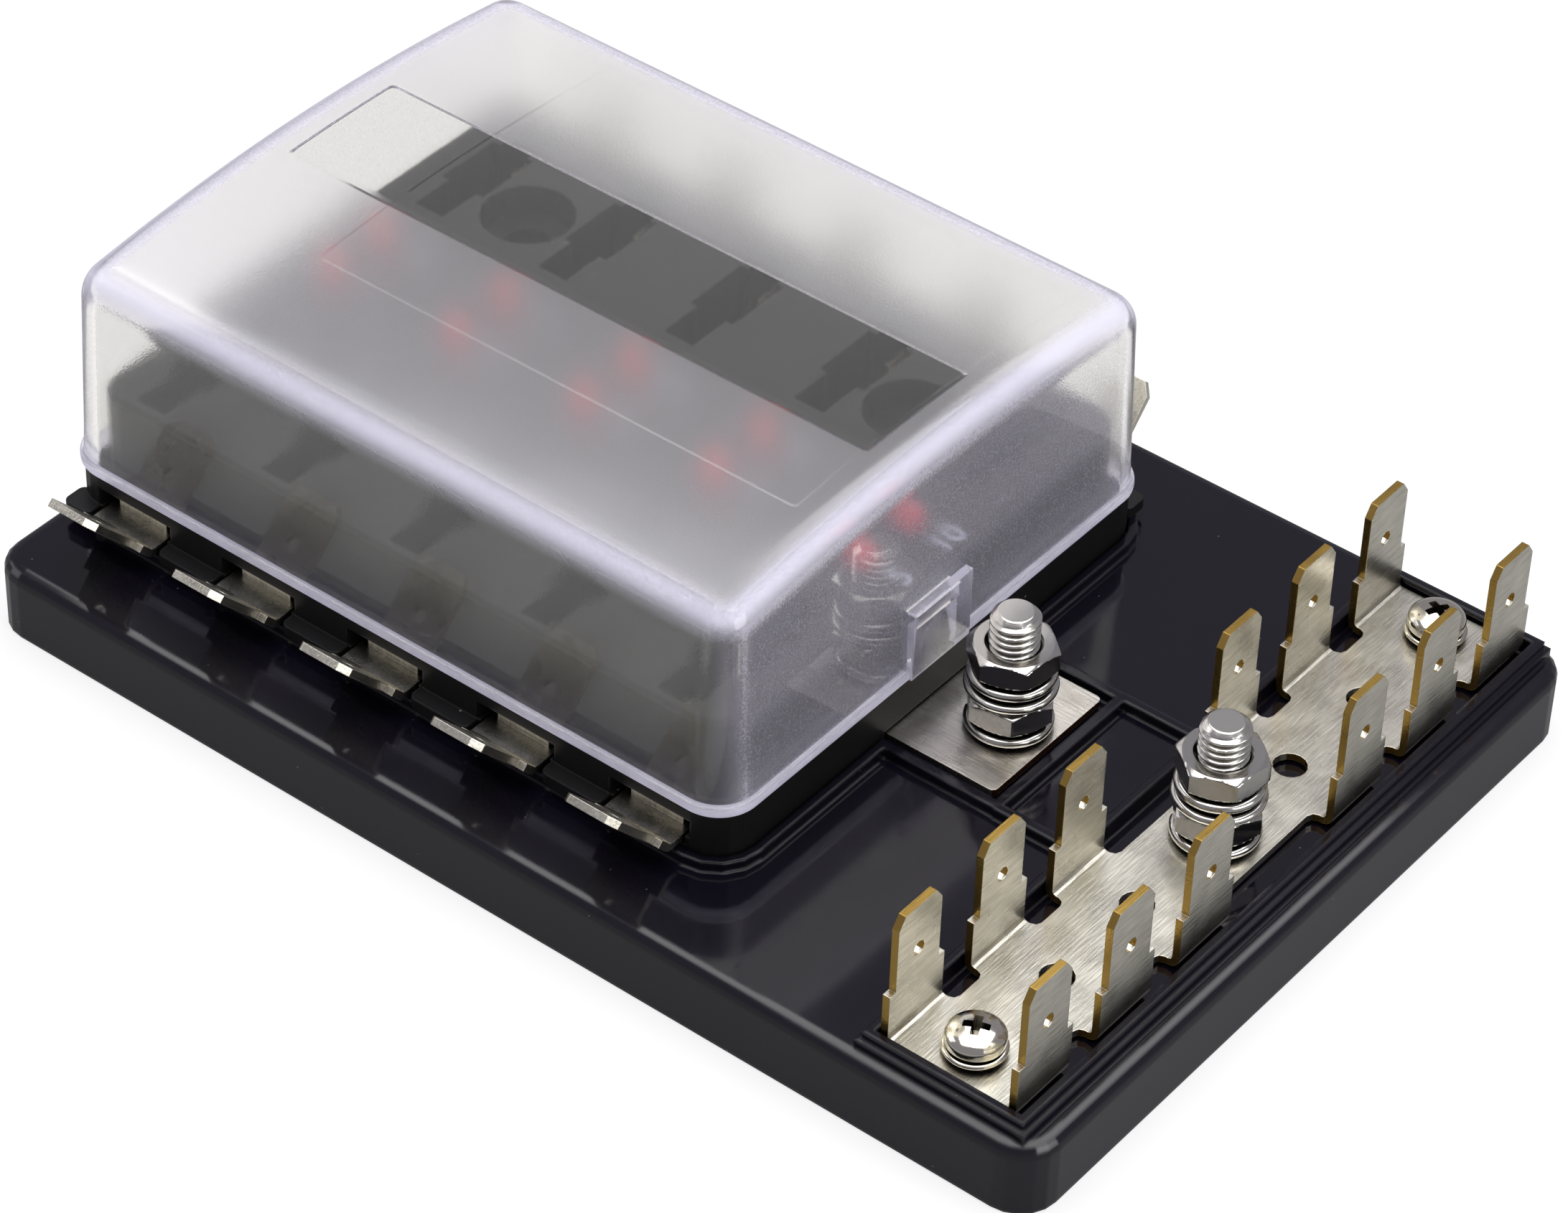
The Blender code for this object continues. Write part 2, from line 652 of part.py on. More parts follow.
def housing_additions():
    """Upper body, catches for the cover and shelves between the terminals."""
    low, high = centred(HOUSING_CENTRE_X, 0, SKIRT_TOP - BODY_FOOT_DEPTH, BODY_TOP,
                        BODY_LENGTH, BODY_WIDTH)
    shape = block_shape(low, high, BODY_CORNER, 4)
    top = [edge for edge in shape.edges
           if all(abs(vert.co.z - BODY_TOP) < 1e-6 for vert in edge.verts)]
    bmesh.ops.bevel(shape, geom=top, offset=BODY_EDGE_ROUND, segments=1, profile=0.5,
                    affect="EDGES")
    pieces = [from_bmesh("upper_body", shape)]
    for reach in (CATCH_REACH, REAR_CATCH_REACH):
        low, high = centred(BODY_END_X, CATCH_OFFSET_Y, CATCH_TOP - CATCH_HEIGHT, CATCH_TOP,
                            2 * reach, CATCH_WIDTH)
        catch = block("catch", low, high)
        at_rear = reach == REAR_CATCH_REACH
        pieces.append(turn_about(catch, HOUSING_CENTRE_X, 0) if at_rear else catch)
    wall = HOUSING_WIDTH / 2
    for start, end in shelf_spans():
        for half_turn in (False, True):
            shelf = block("shelf", (start, -wall - SHELF_REACH, LEG_TOP - SHELF_THICKNESS),
                          (end, -wall + SHELF_CORNER + SINK, LEG_TOP), SHELF_CORNER)
            pieces.append(turn_about(shelf, HOUSING_CENTRE_X, 0) if half_turn else shelf)
    return pieces


def socket_cutters(x):
    """Stepped socket of one fuse on the +Y side: two deep blade slots and a wider body recess."""
    low, high = centred(x, SOCKET_MIDDLE_Y, BODY_TOP - SOCKET_BODY_DEPTH, BODY_TOP + OVERCUT,
                        SOCKET_BODY_WIDTH, SOCKET_BODY_LENGTH)
    body = block("fuse_body_recess", low, high)
    low, high = centred(x, SOCKET_MIDDLE_Y, BODY_TOP - SOCKET_BODY_DEPTH, BODY_TOP + OVERCUT,
                        SOCKET_SLOT_WIDTH, SOCKET_LENGTH)
    across = block("fuse_slot", low, high)
    pieces = [body, across]
    slot_length = (SOCKET_LENGTH - SOCKET_BODY_LENGTH) / 2
    for y in (SOCKET_INNER_Y + slot_length / 2, SOCKET_OUTER_Y - slot_length / 2):
        low, high = centred(x, y, HOUSING_BOTTOM - OVERCUT, BODY_TOP - SOCKET_BODY_DEPTH / 2,
                            SOCKET_SLOT_WIDTH, slot_length)
        pieces.append(block("blade_well", low, high))
    return pieces


def indicator_cutters(x):
    """Indicator hole, its lead pocket and the resistor groove of one fuse on the +Y side."""
    flange_top = BODY_TOP - LED_BODY_DEPTH + LED_FLANGE_HEIGHT
    shoulder = flange_top + SEAT_GAP
    hole = cylinder("led_hole", x, LED_Y, shoulder - SINK, BODY_TOP + OVERCUT,
                    LED_RADIUS + HOLE_CLEARANCE, SMALL_STEPS)
    well = cylinder("led_well", x, LED_Y, HOUSING_BOTTOM - OVERCUT, shoulder,
                    LED_FLANGE_RADIUS + HOLE_CLEARANCE, SMALL_STEPS)
    groove_half = RESISTOR_RADIUS + HOLE_CLEARANCE
    groove_top = RESISTOR_Z + groove_half
    link = block("lead_groove", (x, LED_Y - LEAD_GROOVE_HALF, HOUSING_BOTTOM - OVERCUT),
                 (x + RESISTOR_OFFSET_X + groove_half, LED_Y + LEAD_GROOVE_HALF, groove_top))
    groove = block("resistor_groove",
                   (x + RESISTOR_OFFSET_X - groove_half, LED_Y - LEAD_GROOVE_HALF,
                    HOUSING_BOTTOM - OVERCUT),
                   (x + RESISTOR_OFFSET_X + groove_half, RESISTOR_END_Y + LEAD_GROOVE_HALF,
                    groove_top))
    return [hole, well, link, groove]


def housing_cutters():
    pieces = []
    for index in range(FUSE_COUNT):
        x = fuse_x(index)
        for half_turn in (False, True):
            own = socket_cutters(x) + indicator_cutters(x)
            low, high = centred(x, (SOCKET_INNER_Y + CLIP_LENGTH) / 2, HOUSING_BOTTOM - OVERCUT,
                                CHANNEL_TOP, SOCKET_SLOT_WIDTH, SOCKET_INNER_Y + CLIP_LENGTH)
            own.append(block("tongue_channel", low, high))
            leg_end = HOUSING_WIDTH / 2 + SHELF_REACH + OVERCUT
            leg_width = TAB_SHOULDER_WIDTH + 2 * HOLE_CLEARANCE
            own.append(block("leg_channel",
                             (x - leg_width / 2, SOCKET_OUTER_Y - CLIP_LENGTH - 2 * HOLE_CLEARANCE,
                              WINDOW_SILL),
                             (x + leg_width / 2, leg_end, LEG_TOP + SEAT_GAP)))
            own.append(block("window", (x - WINDOW_WIDTH / 2, BODY_WIDTH / 2, LEG_TOP),
                             (x + WINDOW_WIDTH / 2, HOUSING_WIDTH / 2 + OVERCUT, WINDOW_TOP)))
            pieces += [turn_about(piece, x, 0) for piece in own] if half_turn else own
    bus_start = fuse_x(0) - SOCKET_SLOT_WIDTH
    pieces.append(block("bus_channel",
                        (bus_start, -INPUT_BAR_HALF_WIDTH - SEAT_GAP, HOUSING_BOTTOM - OVERCUT),
                        (INPUT_BAR_END_X, INPUT_BAR_HALF_WIDTH + SEAT_GAP, CHANNEL_TOP)))
    for x, y in mount_hole_places():
        pieces.append(cylinder("mount_hole", x, y, 0.0, BODY_TOP + OVERCUT, MOUNT_HOLE_RADIUS,
                               HOLE_STEPS))
        pieces.append(cylinder("mount_head_recess", x, y, BODY_TOP - MOUNT_HEAD_DEPTH,
                               BODY_TOP + OVERCUT, MOUNT_HEAD_RADIUS, HOLE_STEPS))
    for x, y in fixing_places():
        pieces.append(cylinder("pilot_hole", x, y, HOUSING_BOTTOM - OVERCUT,
                               BASE_HEIGHT + FIX_DEPTH + SEAT_GAP,
                               FIX_SHANK_RADIUS + HOLE_CLEARANCE, SMALL_STEPS))
    return pieces


def make_housing():
    """Skirt with windows and shelves, and a raised body with the fuse sockets."""
    low, high = centred(HOUSING_CENTRE_X, 0, HOUSING_BOTTOM, SKIRT_TOP, HOUSING_LENGTH,
                        HOUSING_WIDTH)
    housing = block("fuse_housing", low, high, HOUSING_CORNER, CORNER_STEPS, PARTS, BLACK_NYLON)
    combine(housing, housing_additions(), "UNION")
    combine(housing, housing_cutters(), "DIFFERENCE")
    freeze(housing)
    smooth(housing)
    return housing


def cover_ring(inset, z):
    """Rounded rectangle of the cover's outer skin, with points along its ends for the arch."""
    half_x = HOUSING_LENGTH / 2 - inset
    half_y = HOUSING_WIDTH / 2 - inset
    radius = HOUSING_CORNER - min(inset, COVER_EDGE_ROUND)
    straight = half_y - radius
    right = arc((half_x - radius, straight), radius, math.pi / 2, 0, COVER_CORNER_STEPS)
    right += [(half_x, straight * (1 - 2 * i / COVER_ARCH_STEPS))
              for i in range(1, COVER_ARCH_STEPS)]
    right += arc((half_x - radius, -straight), radius, 0, -math.pi / 2, COVER_CORNER_STEPS)
    ring = right + [(-x, y) for x, y in reversed(right)]
    return [(x, y, z) for x, y in ring]


def arch_rise(y, height):
    """Lift of the cover's top at y, fading out down the wall."""
    half_y = HOUSING_WIDTH / 2
    return COVER_ARCH * (1 - (y / half_y) ** 2) * height


def cover_skin():
    """Open-bottomed outer skin, lofted from rings: draft, rounded edge and arched top."""
    straight_top = COVER_EDGE_Z - COVER_EDGE_ROUND
    draft = math.tan(COVER_DRAFT)
    wall_inset = draft * (straight_top - COVER_BOTTOM)
    rings = [cover_ring(0, COVER_BOTTOM), cover_ring(wall_inset, straight_top)]
    for step in range(1, COVER_EDGE_STEPS + 1):
        angle = math.pi / 2 * step / COVER_EDGE_STEPS
        rings.append(cover_ring(wall_inset + COVER_EDGE_ROUND * (1 - math.cos(angle)),
                                straight_top + COVER_EDGE_ROUND * math.sin(angle)))
    shape = bmesh.new()
    rows = []
    for ring in rings:
        height = (ring[0][2] - COVER_BOTTOM) / COVER_RISE
        rows.append([shape.verts.new((HOUSING_CENTRE_X + x, y, z + arch_rise(y, height)))
                     for x, y, z in ring])
    count = len(rows[0])
    for low, high in zip(rows, rows[1:]):
        for i in range(count):
            after = (i + 1) % count
            shape.faces.new((low[i], high[i], high[after], low[after]))
    top = rows[-1]
    for i in range(count // 2 - 1):
        shape.faces.new((top[i], top[-1 - i], top[-2 - i], top[i + 1]))
    return shape


def latch_channel(reach):
    """Channel up the inside of an end wall that the housing's catch slides in."""
    half_channel = CATCH_WIDTH / 2 + HOLE_CLEARANCE
    return block("latch_channel",
                 (BODY_END_X, CATCH_OFFSET_Y - half_channel, COVER_BOTTOM - OVERCUT),
                 (BODY_END_X + reach + SEAT_GAP, CATCH_OFFSET_Y + half_channel,
                  CATCH_TOP + SEAT_GAP))


def latch_frame():
    """Raised frame on the outside of the end wall by the input stud."""
    return block("latch_frame",
                 (HOUSING_END_X - COVER_WALL, LATCH_OFFSET_Y - LATCH_WIDTH / 2, COVER_BOTTOM),
                 (HOUSING_END_X + LATCH_OUT, LATCH_OFFSET_Y + LATCH_WIDTH / 2, LATCH_TOP))


def latch_slot():
    """Slot through the frame at the catch's height."""
    half_slot = CATCH_WIDTH / 2 + HOLE_CLEARANCE
    return block("latch_slot",
                 (BODY_END_X, CATCH_OFFSET_Y - half_slot, CATCH_TOP - LATCH_SLOT_HEIGHT),
                 (HOUSING_END_X + LATCH_OUT + OVERCUT, CATCH_OFFSET_Y + half_slot,
                  CATCH_TOP + SEAT_GAP))


def make_cover():
    """Frosted cover: shelled skin, a bead round its rim and a catch's channel at each end."""
    cover = from_bmesh("clear_cover", cover_skin(), PARTS, FROSTED_CLEAR)
    shell = cover.modifiers.new("wall", "SOLIDIFY")
    shell.thickness = COVER_WALL
    shell.offset = -1
    shell.use_even_offset = True
    shell.use_quality_normals = True
    half_x = HOUSING_LENGTH / 2 - COVER_WALL / 2
    half_y = HOUSING_WIDTH / 2 - COVER_WALL / 2
    bead = frame_pieces("rim_bead", (HOUSING_CENTRE_X - half_x, -half_y),
                        (HOUSING_CENTRE_X + half_x, half_y), COVER_WALL / 2 + LIP_OUT,
                        COVER_BOTTOM, COVER_BOTTOM + LIP_HEIGHT, HOUSING_CORNER - COVER_WALL / 2)
    rear_channel = turn_about(latch_channel(REAR_CATCH_REACH), HOUSING_CENTRE_X, 0)
    combine(cover, [bead, latch_frame()], "UNION")
    combine(cover, [latch_channel(CATCH_REACH), latch_slot(), rear_channel], "DIFFERENCE")
    freeze(cover)
    smooth(cover)
    return cover


def clip_outline(bottom):
    """U-shaped spring clip in its XZ plane, with leaves that pinch and flare out at the top."""
    wide = CLIP_HALF_WIDTH
    top = bottom + CLIP_HEIGHT
    pinch = top - CLIP_FLARE
    outer = [(wide, bottom), (CLIP_PINCH + CLIP_METAL, pinch), (wide - CLIP_METAL / 2, top)]
    inner = [(wide - 1.5 * CLIP_METAL, top), (CLIP_PINCH, pinch),
             (wide - CLIP_METAL, bottom + TAB_METAL)]
    right = outer + inner
    left = [(-x, z) for x, z in reversed(right)]
    return right + left


def make_clip(x, y, bottom):
    """Clip of CLIP_LENGTH along Y, centred at y."""
    stand = Matrix.Translation((x, y, 0)) @ Matrix.Rotation(math.pi / 2, 4, "X")
    return sheet("clip", [clip_outline(bottom)], CLIP_LENGTH, stand)


def make_input_busbar():
    """Plate under the stud that runs below the housing, with a tongue and clip for each fuse."""
    half = INPUT_BAR_HALF_WIDTH
    start = fuse_x(0) - SOCKET_SLOT_WIDTH + SEAT_GAP
    outline = rounded_outline([(start, -half, 0), (INPUT_BAR_END_X, -half, INPUT_BAR_CORNER),
                               (INPUT_BAR_END_X, half, INPUT_BAR_CORNER), (start, half, 0)])
    hole = circle(INPUT_STUD_X, 0, STUD_RADIUS + HOLE_CLEARANCE, ROUND_STEPS)
    level = Matrix.Translation((0, 0, BAR_BOTTOM + TAB_METAL / 2))
    bar = sheet("input_busbar", [outline, hole], TAB_METAL, level, PARTS, TINNED_COPPER)
    tongue_end = SOCKET_INNER_Y + CLIP_LENGTH
    pieces = []
    for index in range(FUSE_COUNT):
        x = fuse_x(index)
        low, high = centred(x, 0, BAR_BOTTOM, BAR_TOP, 2 * CLIP_HALF_WIDTH, 2 * tongue_end)
        pieces.append(block("tongue", low, high))
        for side in (-1, 1):
            y = side * (tongue_end - CLIP_LENGTH / 2)
            pieces.append(make_clip(x, y, BAR_BOTTOM))
    combine(bar, pieces, "UNION")
    freeze(bar)
    return bar


def blade_outline(foot, tip):
    """Spade tab in its own plane, rising along +Y from foot to a chamfered tip."""
    half = TAB_WIDTH / 2
    right = [(half, foot), (half, tip - TAB_CHAMFER_DOWN), (half - TAB_CHAMFER_IN, tip)]
    return right + [(-x, y) for x, y in reversed(right)]


def bent_strip_outline(start, metal, bend_round, length, tilt):
    """Side view of a strip that runs flat from start to 0 and then rises at a tilt."""
    outer = bend_round + metal
    set_back = math.tan(tilt / 2)
    below = arc((-outer * set_back, outer), outer, -math.pi / 2, tilt - math.pi / 2, 3)
    above = arc((-outer * set_back, outer), bend_round, tilt - math.pi / 2, -math.pi / 2, 2)
    along = Vector((math.cos(tilt), math.sin(tilt)))
    across = Vector((-math.sin(tilt), math.cos(tilt)))
    end_below = along * length
    end_above = end_below + across * metal
    return [(start, 0.0)] + below + [tuple(end_below), tuple(end_above)] + above + [(start, metal)]


def make_terminal_mesh():
    """Terminal of the +Y side at x = 0: clip, leg, web behind the window and tilted spade tab."""
    leg_start = SOCKET_OUTER_Y - CLIP_LENGTH
    sideways = Matrix.Translation((0, TERMINAL_BEND_Y, LEG_BOTTOM)) @ Matrix.Rotation(
        math.pi / 2, 4, "Z") @ Matrix.Rotation(math.pi / 2, 4, "X")
    outline = bent_strip_outline(leg_start - TERMINAL_BEND_Y, TAB_METAL, TERMINAL_BEND_ROUND,
                                 TERMINAL_SHOULDER, TERMINAL_TILT)
    leg = sheet("terminal_leg", [outline], TAB_SHOULDER_WIDTH, sideways)
    clip = make_clip(0, SOCKET_OUTER_Y - CLIP_LENGTH / 2, LEG_BOTTOM)
    tilted = Matrix.Translation((0, TERMINAL_BEND_Y, LEG_BOTTOM)) @ Matrix.Rotation(
        TERMINAL_TILT, 4, "X") @ Matrix.Translation((0, 0, TAB_METAL / 2))
    hole = circle(0, TERMINAL_TAB_LENGTH - TAB_TIP_TO_HOLE, TAB_HOLE_RADIUS)
    tab = sheet("terminal_tab", [blade_outline(TERMINAL_SHOULDER - SINK, TERMINAL_TAB_LENGTH),
                                 hole], TAB_METAL, tilted)
    web_y = HOUSING_WIDTH / 2 - TERMINAL_WEB_SETBACK
    web = block("window_web", (-TAB_WIDTH / 2, web_y, LEG_TOP - SINK),
                (TAB_WIDTH / 2, web_y + TAB_METAL, WINDOW_TOP - SEAT_GAP))
    combine(leg, [clip, web, tab], "UNION")
    return freeze(leg).data


def place_in_rows(name, mesh, look, first=1):
    """One copy of a +Y side mesh at each fuse, then half-turned copies on the -Y side."""
    made = []
    for row, spin in enumerate((math.pi, 0.0)):
        for index in range(FUSE_COUNT):
            number = first + row * FUSE_COUNT + index
            piece = add_object(f"{name}_{number:02d}", mesh.copy(), PARTS, look)
            piece.location = (fuse_x(index), 0, 0)
            piece.rotation_euler = (0, 0, spin)
            made.append(piece)
    return made


def make_terminals():
    mesh = make_terminal_mesh()
    for piece in place_in_rows("terminal", mesh, TINNED_BRASS):
        smooth(piece)


def make_ground_tab(x, row, side):
    """One folded spade tab: a bent foot and the blade above it; side -1 folds at the -X edge."""
    y = row * GROUND_PITCH
    half = TAB_METAL / 2
    tip = BAR_TOP + GROUND_TAB_RISE
    shoulder = GROUND_SHOULDER_RISE + TAB_METAL
    spin = 0 if side > 0 else math.pi
    stand = Matrix.Translation((x + side * half, y, BAR_BOTTOM)) @ Matrix.Rotation(
        spin, 4, "Z") @ Matrix.Rotation(math.pi / 2, 4, "X")
    outline = bent_strip_outline(-GROUND_NOTCH - TAB_METAL, TAB_METAL, GROUND_BEND_ROUND,
                                 shoulder, math.pi / 2)
    foot = sheet("tab_foot", [outline], TAB_SHOULDER_WIDTH, stand)
    upright = Matrix.Translation((x, y, 0)) @ Matrix.Rotation(
        math.pi / 2, 4, "Z") @ Matrix.Rotation(math.pi / 2, 4, "X")
    hole = circle(0, tip - TAB_TIP_TO_HOLE, TAB_HOLE_RADIUS)
    blade = sheet("tab_blade", [blade_outline(BAR_BOTTOM + shoulder - SINK, tip), hole],
                  TAB_METAL, upright)
    return [foot, blade]


def ground_strip_outline():
    """The strip's plan: a lug under each tab and a round-cornered notch between them."""
    half_tab = TAB_SHOULDER_WIDTH / 2
    lug = GROUND_BEND_ROUND + TAB_METAL / 2
    inner = GROUND_INNER_X + lug
    outer = GROUND_OUTER_X - lug
    notch_inner = GROUND_INNER_X + TAB_METAL / 2 + GROUND_NOTCH
    notch_outer = GROUND_OUTER_X - TAB_METAL / 2 - GROUND_NOTCH
    tabs = [row * GROUND_PITCH for row in GROUND_TAB_ROWS]
    right = [(outer, tabs[0] - half_tab, 0)]
    for below, above in zip(tabs, tabs[1:]):
        right += [(outer, below + half_tab, 0), (notch_outer, below + half_tab,
                                                 GROUND_NOTCH_ROUND),
                  (notch_outer, above - half_tab, GROUND_NOTCH_ROUND),
                  (outer, above - half_tab, 0)]
    right.append((outer, tabs[-1] + half_tab, 0))
    across = {outer: inner, notch_outer: notch_inner}
    left = [(across[x], y, radius) for x, y, radius in reversed(right)]
    return rounded_outline(right + left, 2)


def make_ground_busbar():
    """Strip with notched edges, round holes and twelve tabs folded up along both edges."""
    holes = [circle(GROUND_CENTRE_X, row * GROUND_PITCH, GROUND_HOLE_RADIUS, HOLE_STEPS)
             for row in GROUND_HOLE_ROWS]
    holes += [circle(GROUND_CENTRE_X, row * GROUND_PITCH, PAN_SHANK_RADIUS + HOLE_CLEARANCE)
              for row in GROUND_SCREW_ROWS]
    holes.append(circle(GROUND_CENTRE_X, 0, STUD_RADIUS + HOLE_CLEARANCE, ROUND_STEPS))
    level = Matrix.Translation((0, 0, BAR_BOTTOM + TAB_METAL / 2))
    bar = sheet("ground_busbar", [ground_strip_outline()] + holes, TAB_METAL, level, PARTS,
                TINNED_BRASS)
    pieces = []
    for row in GROUND_TAB_ROWS:
        pieces += make_ground_tab(GROUND_INNER_X, row, -1)
        pieces += make_ground_tab(GROUND_OUTER_X, row, 1)
    combine(bar, pieces, "UNION")
    freeze(bar)
    smooth(bar)
    return bar


def make_stud(name, x):
    """Screw from below with a hexagon head in the base's pocket."""
    head_top = BASE_HEIGHT - BASE_TOP - SEAT_GAP
    chamfer = STUD_TIP_CHAMFER
    profile = [(0.0, STUD_TOP), (STUD_RADIUS - chamfer, STUD_TOP),
               (STUD_RADIUS, STUD_TOP - chamfer), (STUD_RADIUS, head_top - SINK),
               (0.0, head_top - SINK)]
    stud = turned(name, profile, x, 0, 0, ROUND_STEPS, PARTS, STAINLESS)
    head = cylinder(name + "_head", x, 0, head_top - STUD_HEAD_HEIGHT, head_top,
                    STUD_HEAD_FLATS / 2 / math.cos(math.pi / 6), 6)
    combine(stud, [head], "UNION")
    freeze(stud)
    smooth(stud)
    return stud


def make_nut(name, x, bottom, turn):
    """Thin hexagon nut with both ends chamfered by a turned envelope."""
    corner = NUT_FLATS / 2 / math.cos(math.pi / 6)
    nut = cylinder(name, 0, 0, bottom, bottom + NUT_HEIGHT, corner, 6, PARTS, STAINLESS)
    nut.data.transform(Matrix.Rotation(turn, 4, "Z"))
    nut.location = (x, 0, 0)
    top = bottom + NUT_HEIGHT
    wide = corner + SLIVER
    envelope = turned(name + "_envelope",
                      [(0.0, top + SLIVER), (NUT_FLATS / 2, top + SLIVER),
                       (wide, top - NUT_EASE), (wide, bottom + NUT_EASE),
                       (NUT_FLATS / 2, bottom - SLIVER), (0.0, bottom - SLIVER)], x, 0, 0)
    combine(nut, [envelope], "INTERSECT")
    bore = cylinder(name + "_bore", x, 0, bottom - OVERCUT, top + OVERCUT,
                    STUD_RADIUS + HOLE_CLEARANCE)
    combine(nut, [bore], "DIFFERENCE")
    freeze(nut)
    smooth(nut)
    return nut


def make_ring(name, x, y, bottom, height, outer, inner, look, slot=0.0, turn=0.0):
    """Washer; a lock washer is cut through by a slanted slot."""
    profile = [(outer, bottom + height), (outer, bottom), (inner, bottom),
               (inner, bottom + height)]
    washer = turned(name, profile, x, y, 0, ROUND_STEPS, PARTS, look)
    if slot > 0:
        low, high = centred(outer, 0, bottom - OVERCUT, bottom + height + OVERCUT, 2 * outer,
                            slot)
        cutter = block(name + "_slot", low, high)
        slant = Matrix.Translation((0, 0, bottom)) @ Matrix.Rotation(
            LOCK_WASHER_SLANT, 4, "X") @ Matrix.Translation((0, 0, -bottom))
        cutter.data.transform(Matrix.Translation((x, y, 0)) @ Matrix.Rotation(
            turn, 4, "Z") @ slant)
        combine(washer, [cutter], "DIFFERENCE")
    freeze(washer)
    smooth(washer)
    return washer


def make_stack(prefix, x):
    """Stud with its washers and nuts, from the bar upwards."""
    make_stud(prefix + "_stud", x)
    bore = STUD_RADIUS + HOLE_CLEARANCE
    level = BAR_TOP + SEAT_GAP
    make_ring(prefix + "_lock_washer_lower", x, 0, level, LOCK_WASHER_HEIGHT,
              LOCK_WASHER_OUTER, bore, STAINLESS, LOCK_WASHER_SLOT, LOWER_SLOT_TURN)
    level += LOCK_WASHER_HEIGHT + SEAT_GAP
    make_nut(prefix + "_nut_lower", x, level, LOWER_NUT_TURN)
    level += NUT_HEIGHT + SEAT_GAP
    make_ring(prefix + "_flat_washer", x, 0, level, FLAT_WASHER_HEIGHT, FLAT_WASHER_OUTER,
              bore, STAINLESS)
    level += FLAT_WASHER_HEIGHT + SEAT_GAP
    make_ring(prefix + "_lock_washer_upper", x, 0, level, LOCK_WASHER_HEIGHT,
              LOCK_WASHER_OUTER, bore, STAINLESS, LOCK_WASHER_SLOT, UPPER_SLOT_TURN)
    level += LOCK_WASHER_HEIGHT + SEAT_GAP
    make_nut(prefix + "_nut_upper", x, level, UPPER_NUT_TURN)


def make_ground_screw(number, y):
    """Pan head screw with a cross recess, over a split washer."""
    washer_bottom = BAR_TOP + SEAT_GAP
    head_bottom = washer_bottom + PAN_WASHER_HEIGHT + SEAT_GAP
    head_top = head_bottom + PAN_HEAD_HEIGHT
    edge = head_bottom + PAN_EDGE_SHARE * PAN_HEAD_HEIGHT
    dome = [(PAN_HEAD_RADIUS * math.sin(a), edge + (head_top - edge) * math.cos(a))
            for a in (0, math.radians(30), math.radians(60), math.pi / 2)]
    profile = dome + [(PAN_HEAD_RADIUS, head_bottom), (PAN_SHANK_RADIUS, head_bottom),
                      (PAN_SHANK_RADIUS, PAN_SHANK_END_Z + PAN_TIP_LENGTH), (0.0, PAN_SHANK_END_Z)]
    name = f"ground_screw_{number}"
    screw = turned(name, profile, GROUND_CENTRE_X, y, 0, ROUND_STEPS, PARTS,
                   NICKEL_STEEL)
    cross = []
    for length, width in ((PAN_CROSS_SPAN, PAN_CROSS_WIDTH), (PAN_CROSS_WIDTH, PAN_CROSS_SPAN)):
        low, high = centred(GROUND_CENTRE_X, y, head_top - PAN_CROSS_DEPTH, head_top + OVERCUT,
                            length, width)
        cross.append(block(name + "_cross", low, high))
    combine(screw, cross, "DIFFERENCE")
    freeze(screw)
    smooth(screw)
    make_ring(f"ground_screw_washer_{number}", GROUND_CENTRE_X, y, washer_bottom,
              PAN_WASHER_HEIGHT, PAN_WASHER_OUTER, PAN_SHANK_RADIUS + HOLE_CLEARANCE,
              NICKEL_STEEL, LOCK_WASHER_SLOT / 2, PAN_SLOT_TURN)


def make_housing_screw(number, x, y):
    """Self-tapping screw from below that holds the housing to the base."""
    tip = BASE_HEIGHT + FIX_DEPTH
    head_top = FIX_HEAD_Z + FIX_HEAD_HEIGHT
    profile = [(0.0, tip), (FIX_SHANK_RADIUS, tip - FIX_TIP_LENGTH), (FIX_SHANK_RADIUS, head_top),
               (FIX_HEAD_RADIUS, head_top), (FIX_HEAD_RADIUS, FIX_HEAD_Z), (0.0, FIX_HEAD_Z)]
    screw = turned(f"housing_screw_{number}", profile, x, y, 0, SMALL_STEPS, PARTS, ZINC_STEEL)
    freeze(screw)
    smooth(screw)


def make_led_mesh():
    """Indicator of the +Y side at x = 0: dome, flange and two leads, one bent to the resistor."""
    flange_bottom = BODY_TOP - LED_BODY_DEPTH
    flange_top = flange_bottom + LED_FLANGE_HEIGHT
    top = BODY_TOP + LED_RISE
    dome_foot = top - LED_RADIUS
    dome = [(LED_RADIUS * math.sin(a), dome_foot + LED_RADIUS * math.cos(a))
            for a in (0, math.radians(35), math.radians(65), math.pi / 2)]
    profile = dome + [(LED_RADIUS, flange_top), (LED_FLANGE_RADIUS, flange_top),
                      (LED_FLANGE_RADIUS, flange_bottom), (0.0, flange_bottom)]
    body = turned("led_body", profile, 0, LED_Y, 0, SMALL_STEPS)
    freeze(body)
    body.data.transform(body.matrix_world)
    body.location = (0, 0, 0)
    start = flange_bottom + SINK
    straight = wire("led_lead", [(-LED_LEAD_OFFSET, LED_Y, start),
                                 (-LED_LEAD_OFFSET, LED_Y, BAR_TOP + SEAT_GAP)],
                    LED_LEAD_RADIUS)
    bent = wire("led_lead_bent", [(LED_LEAD_OFFSET, LED_Y, start),
                                  (LED_LEAD_OFFSET, LED_Y, RESISTOR_Z),
                                  (RESISTOR_OFFSET_X + LED_LEAD_RADIUS, LED_Y, RESISTOR_Z)],
                LED_LEAD_RADIUS)
    combine(body, [straight, bent], "UNION")
    return freeze(body).data


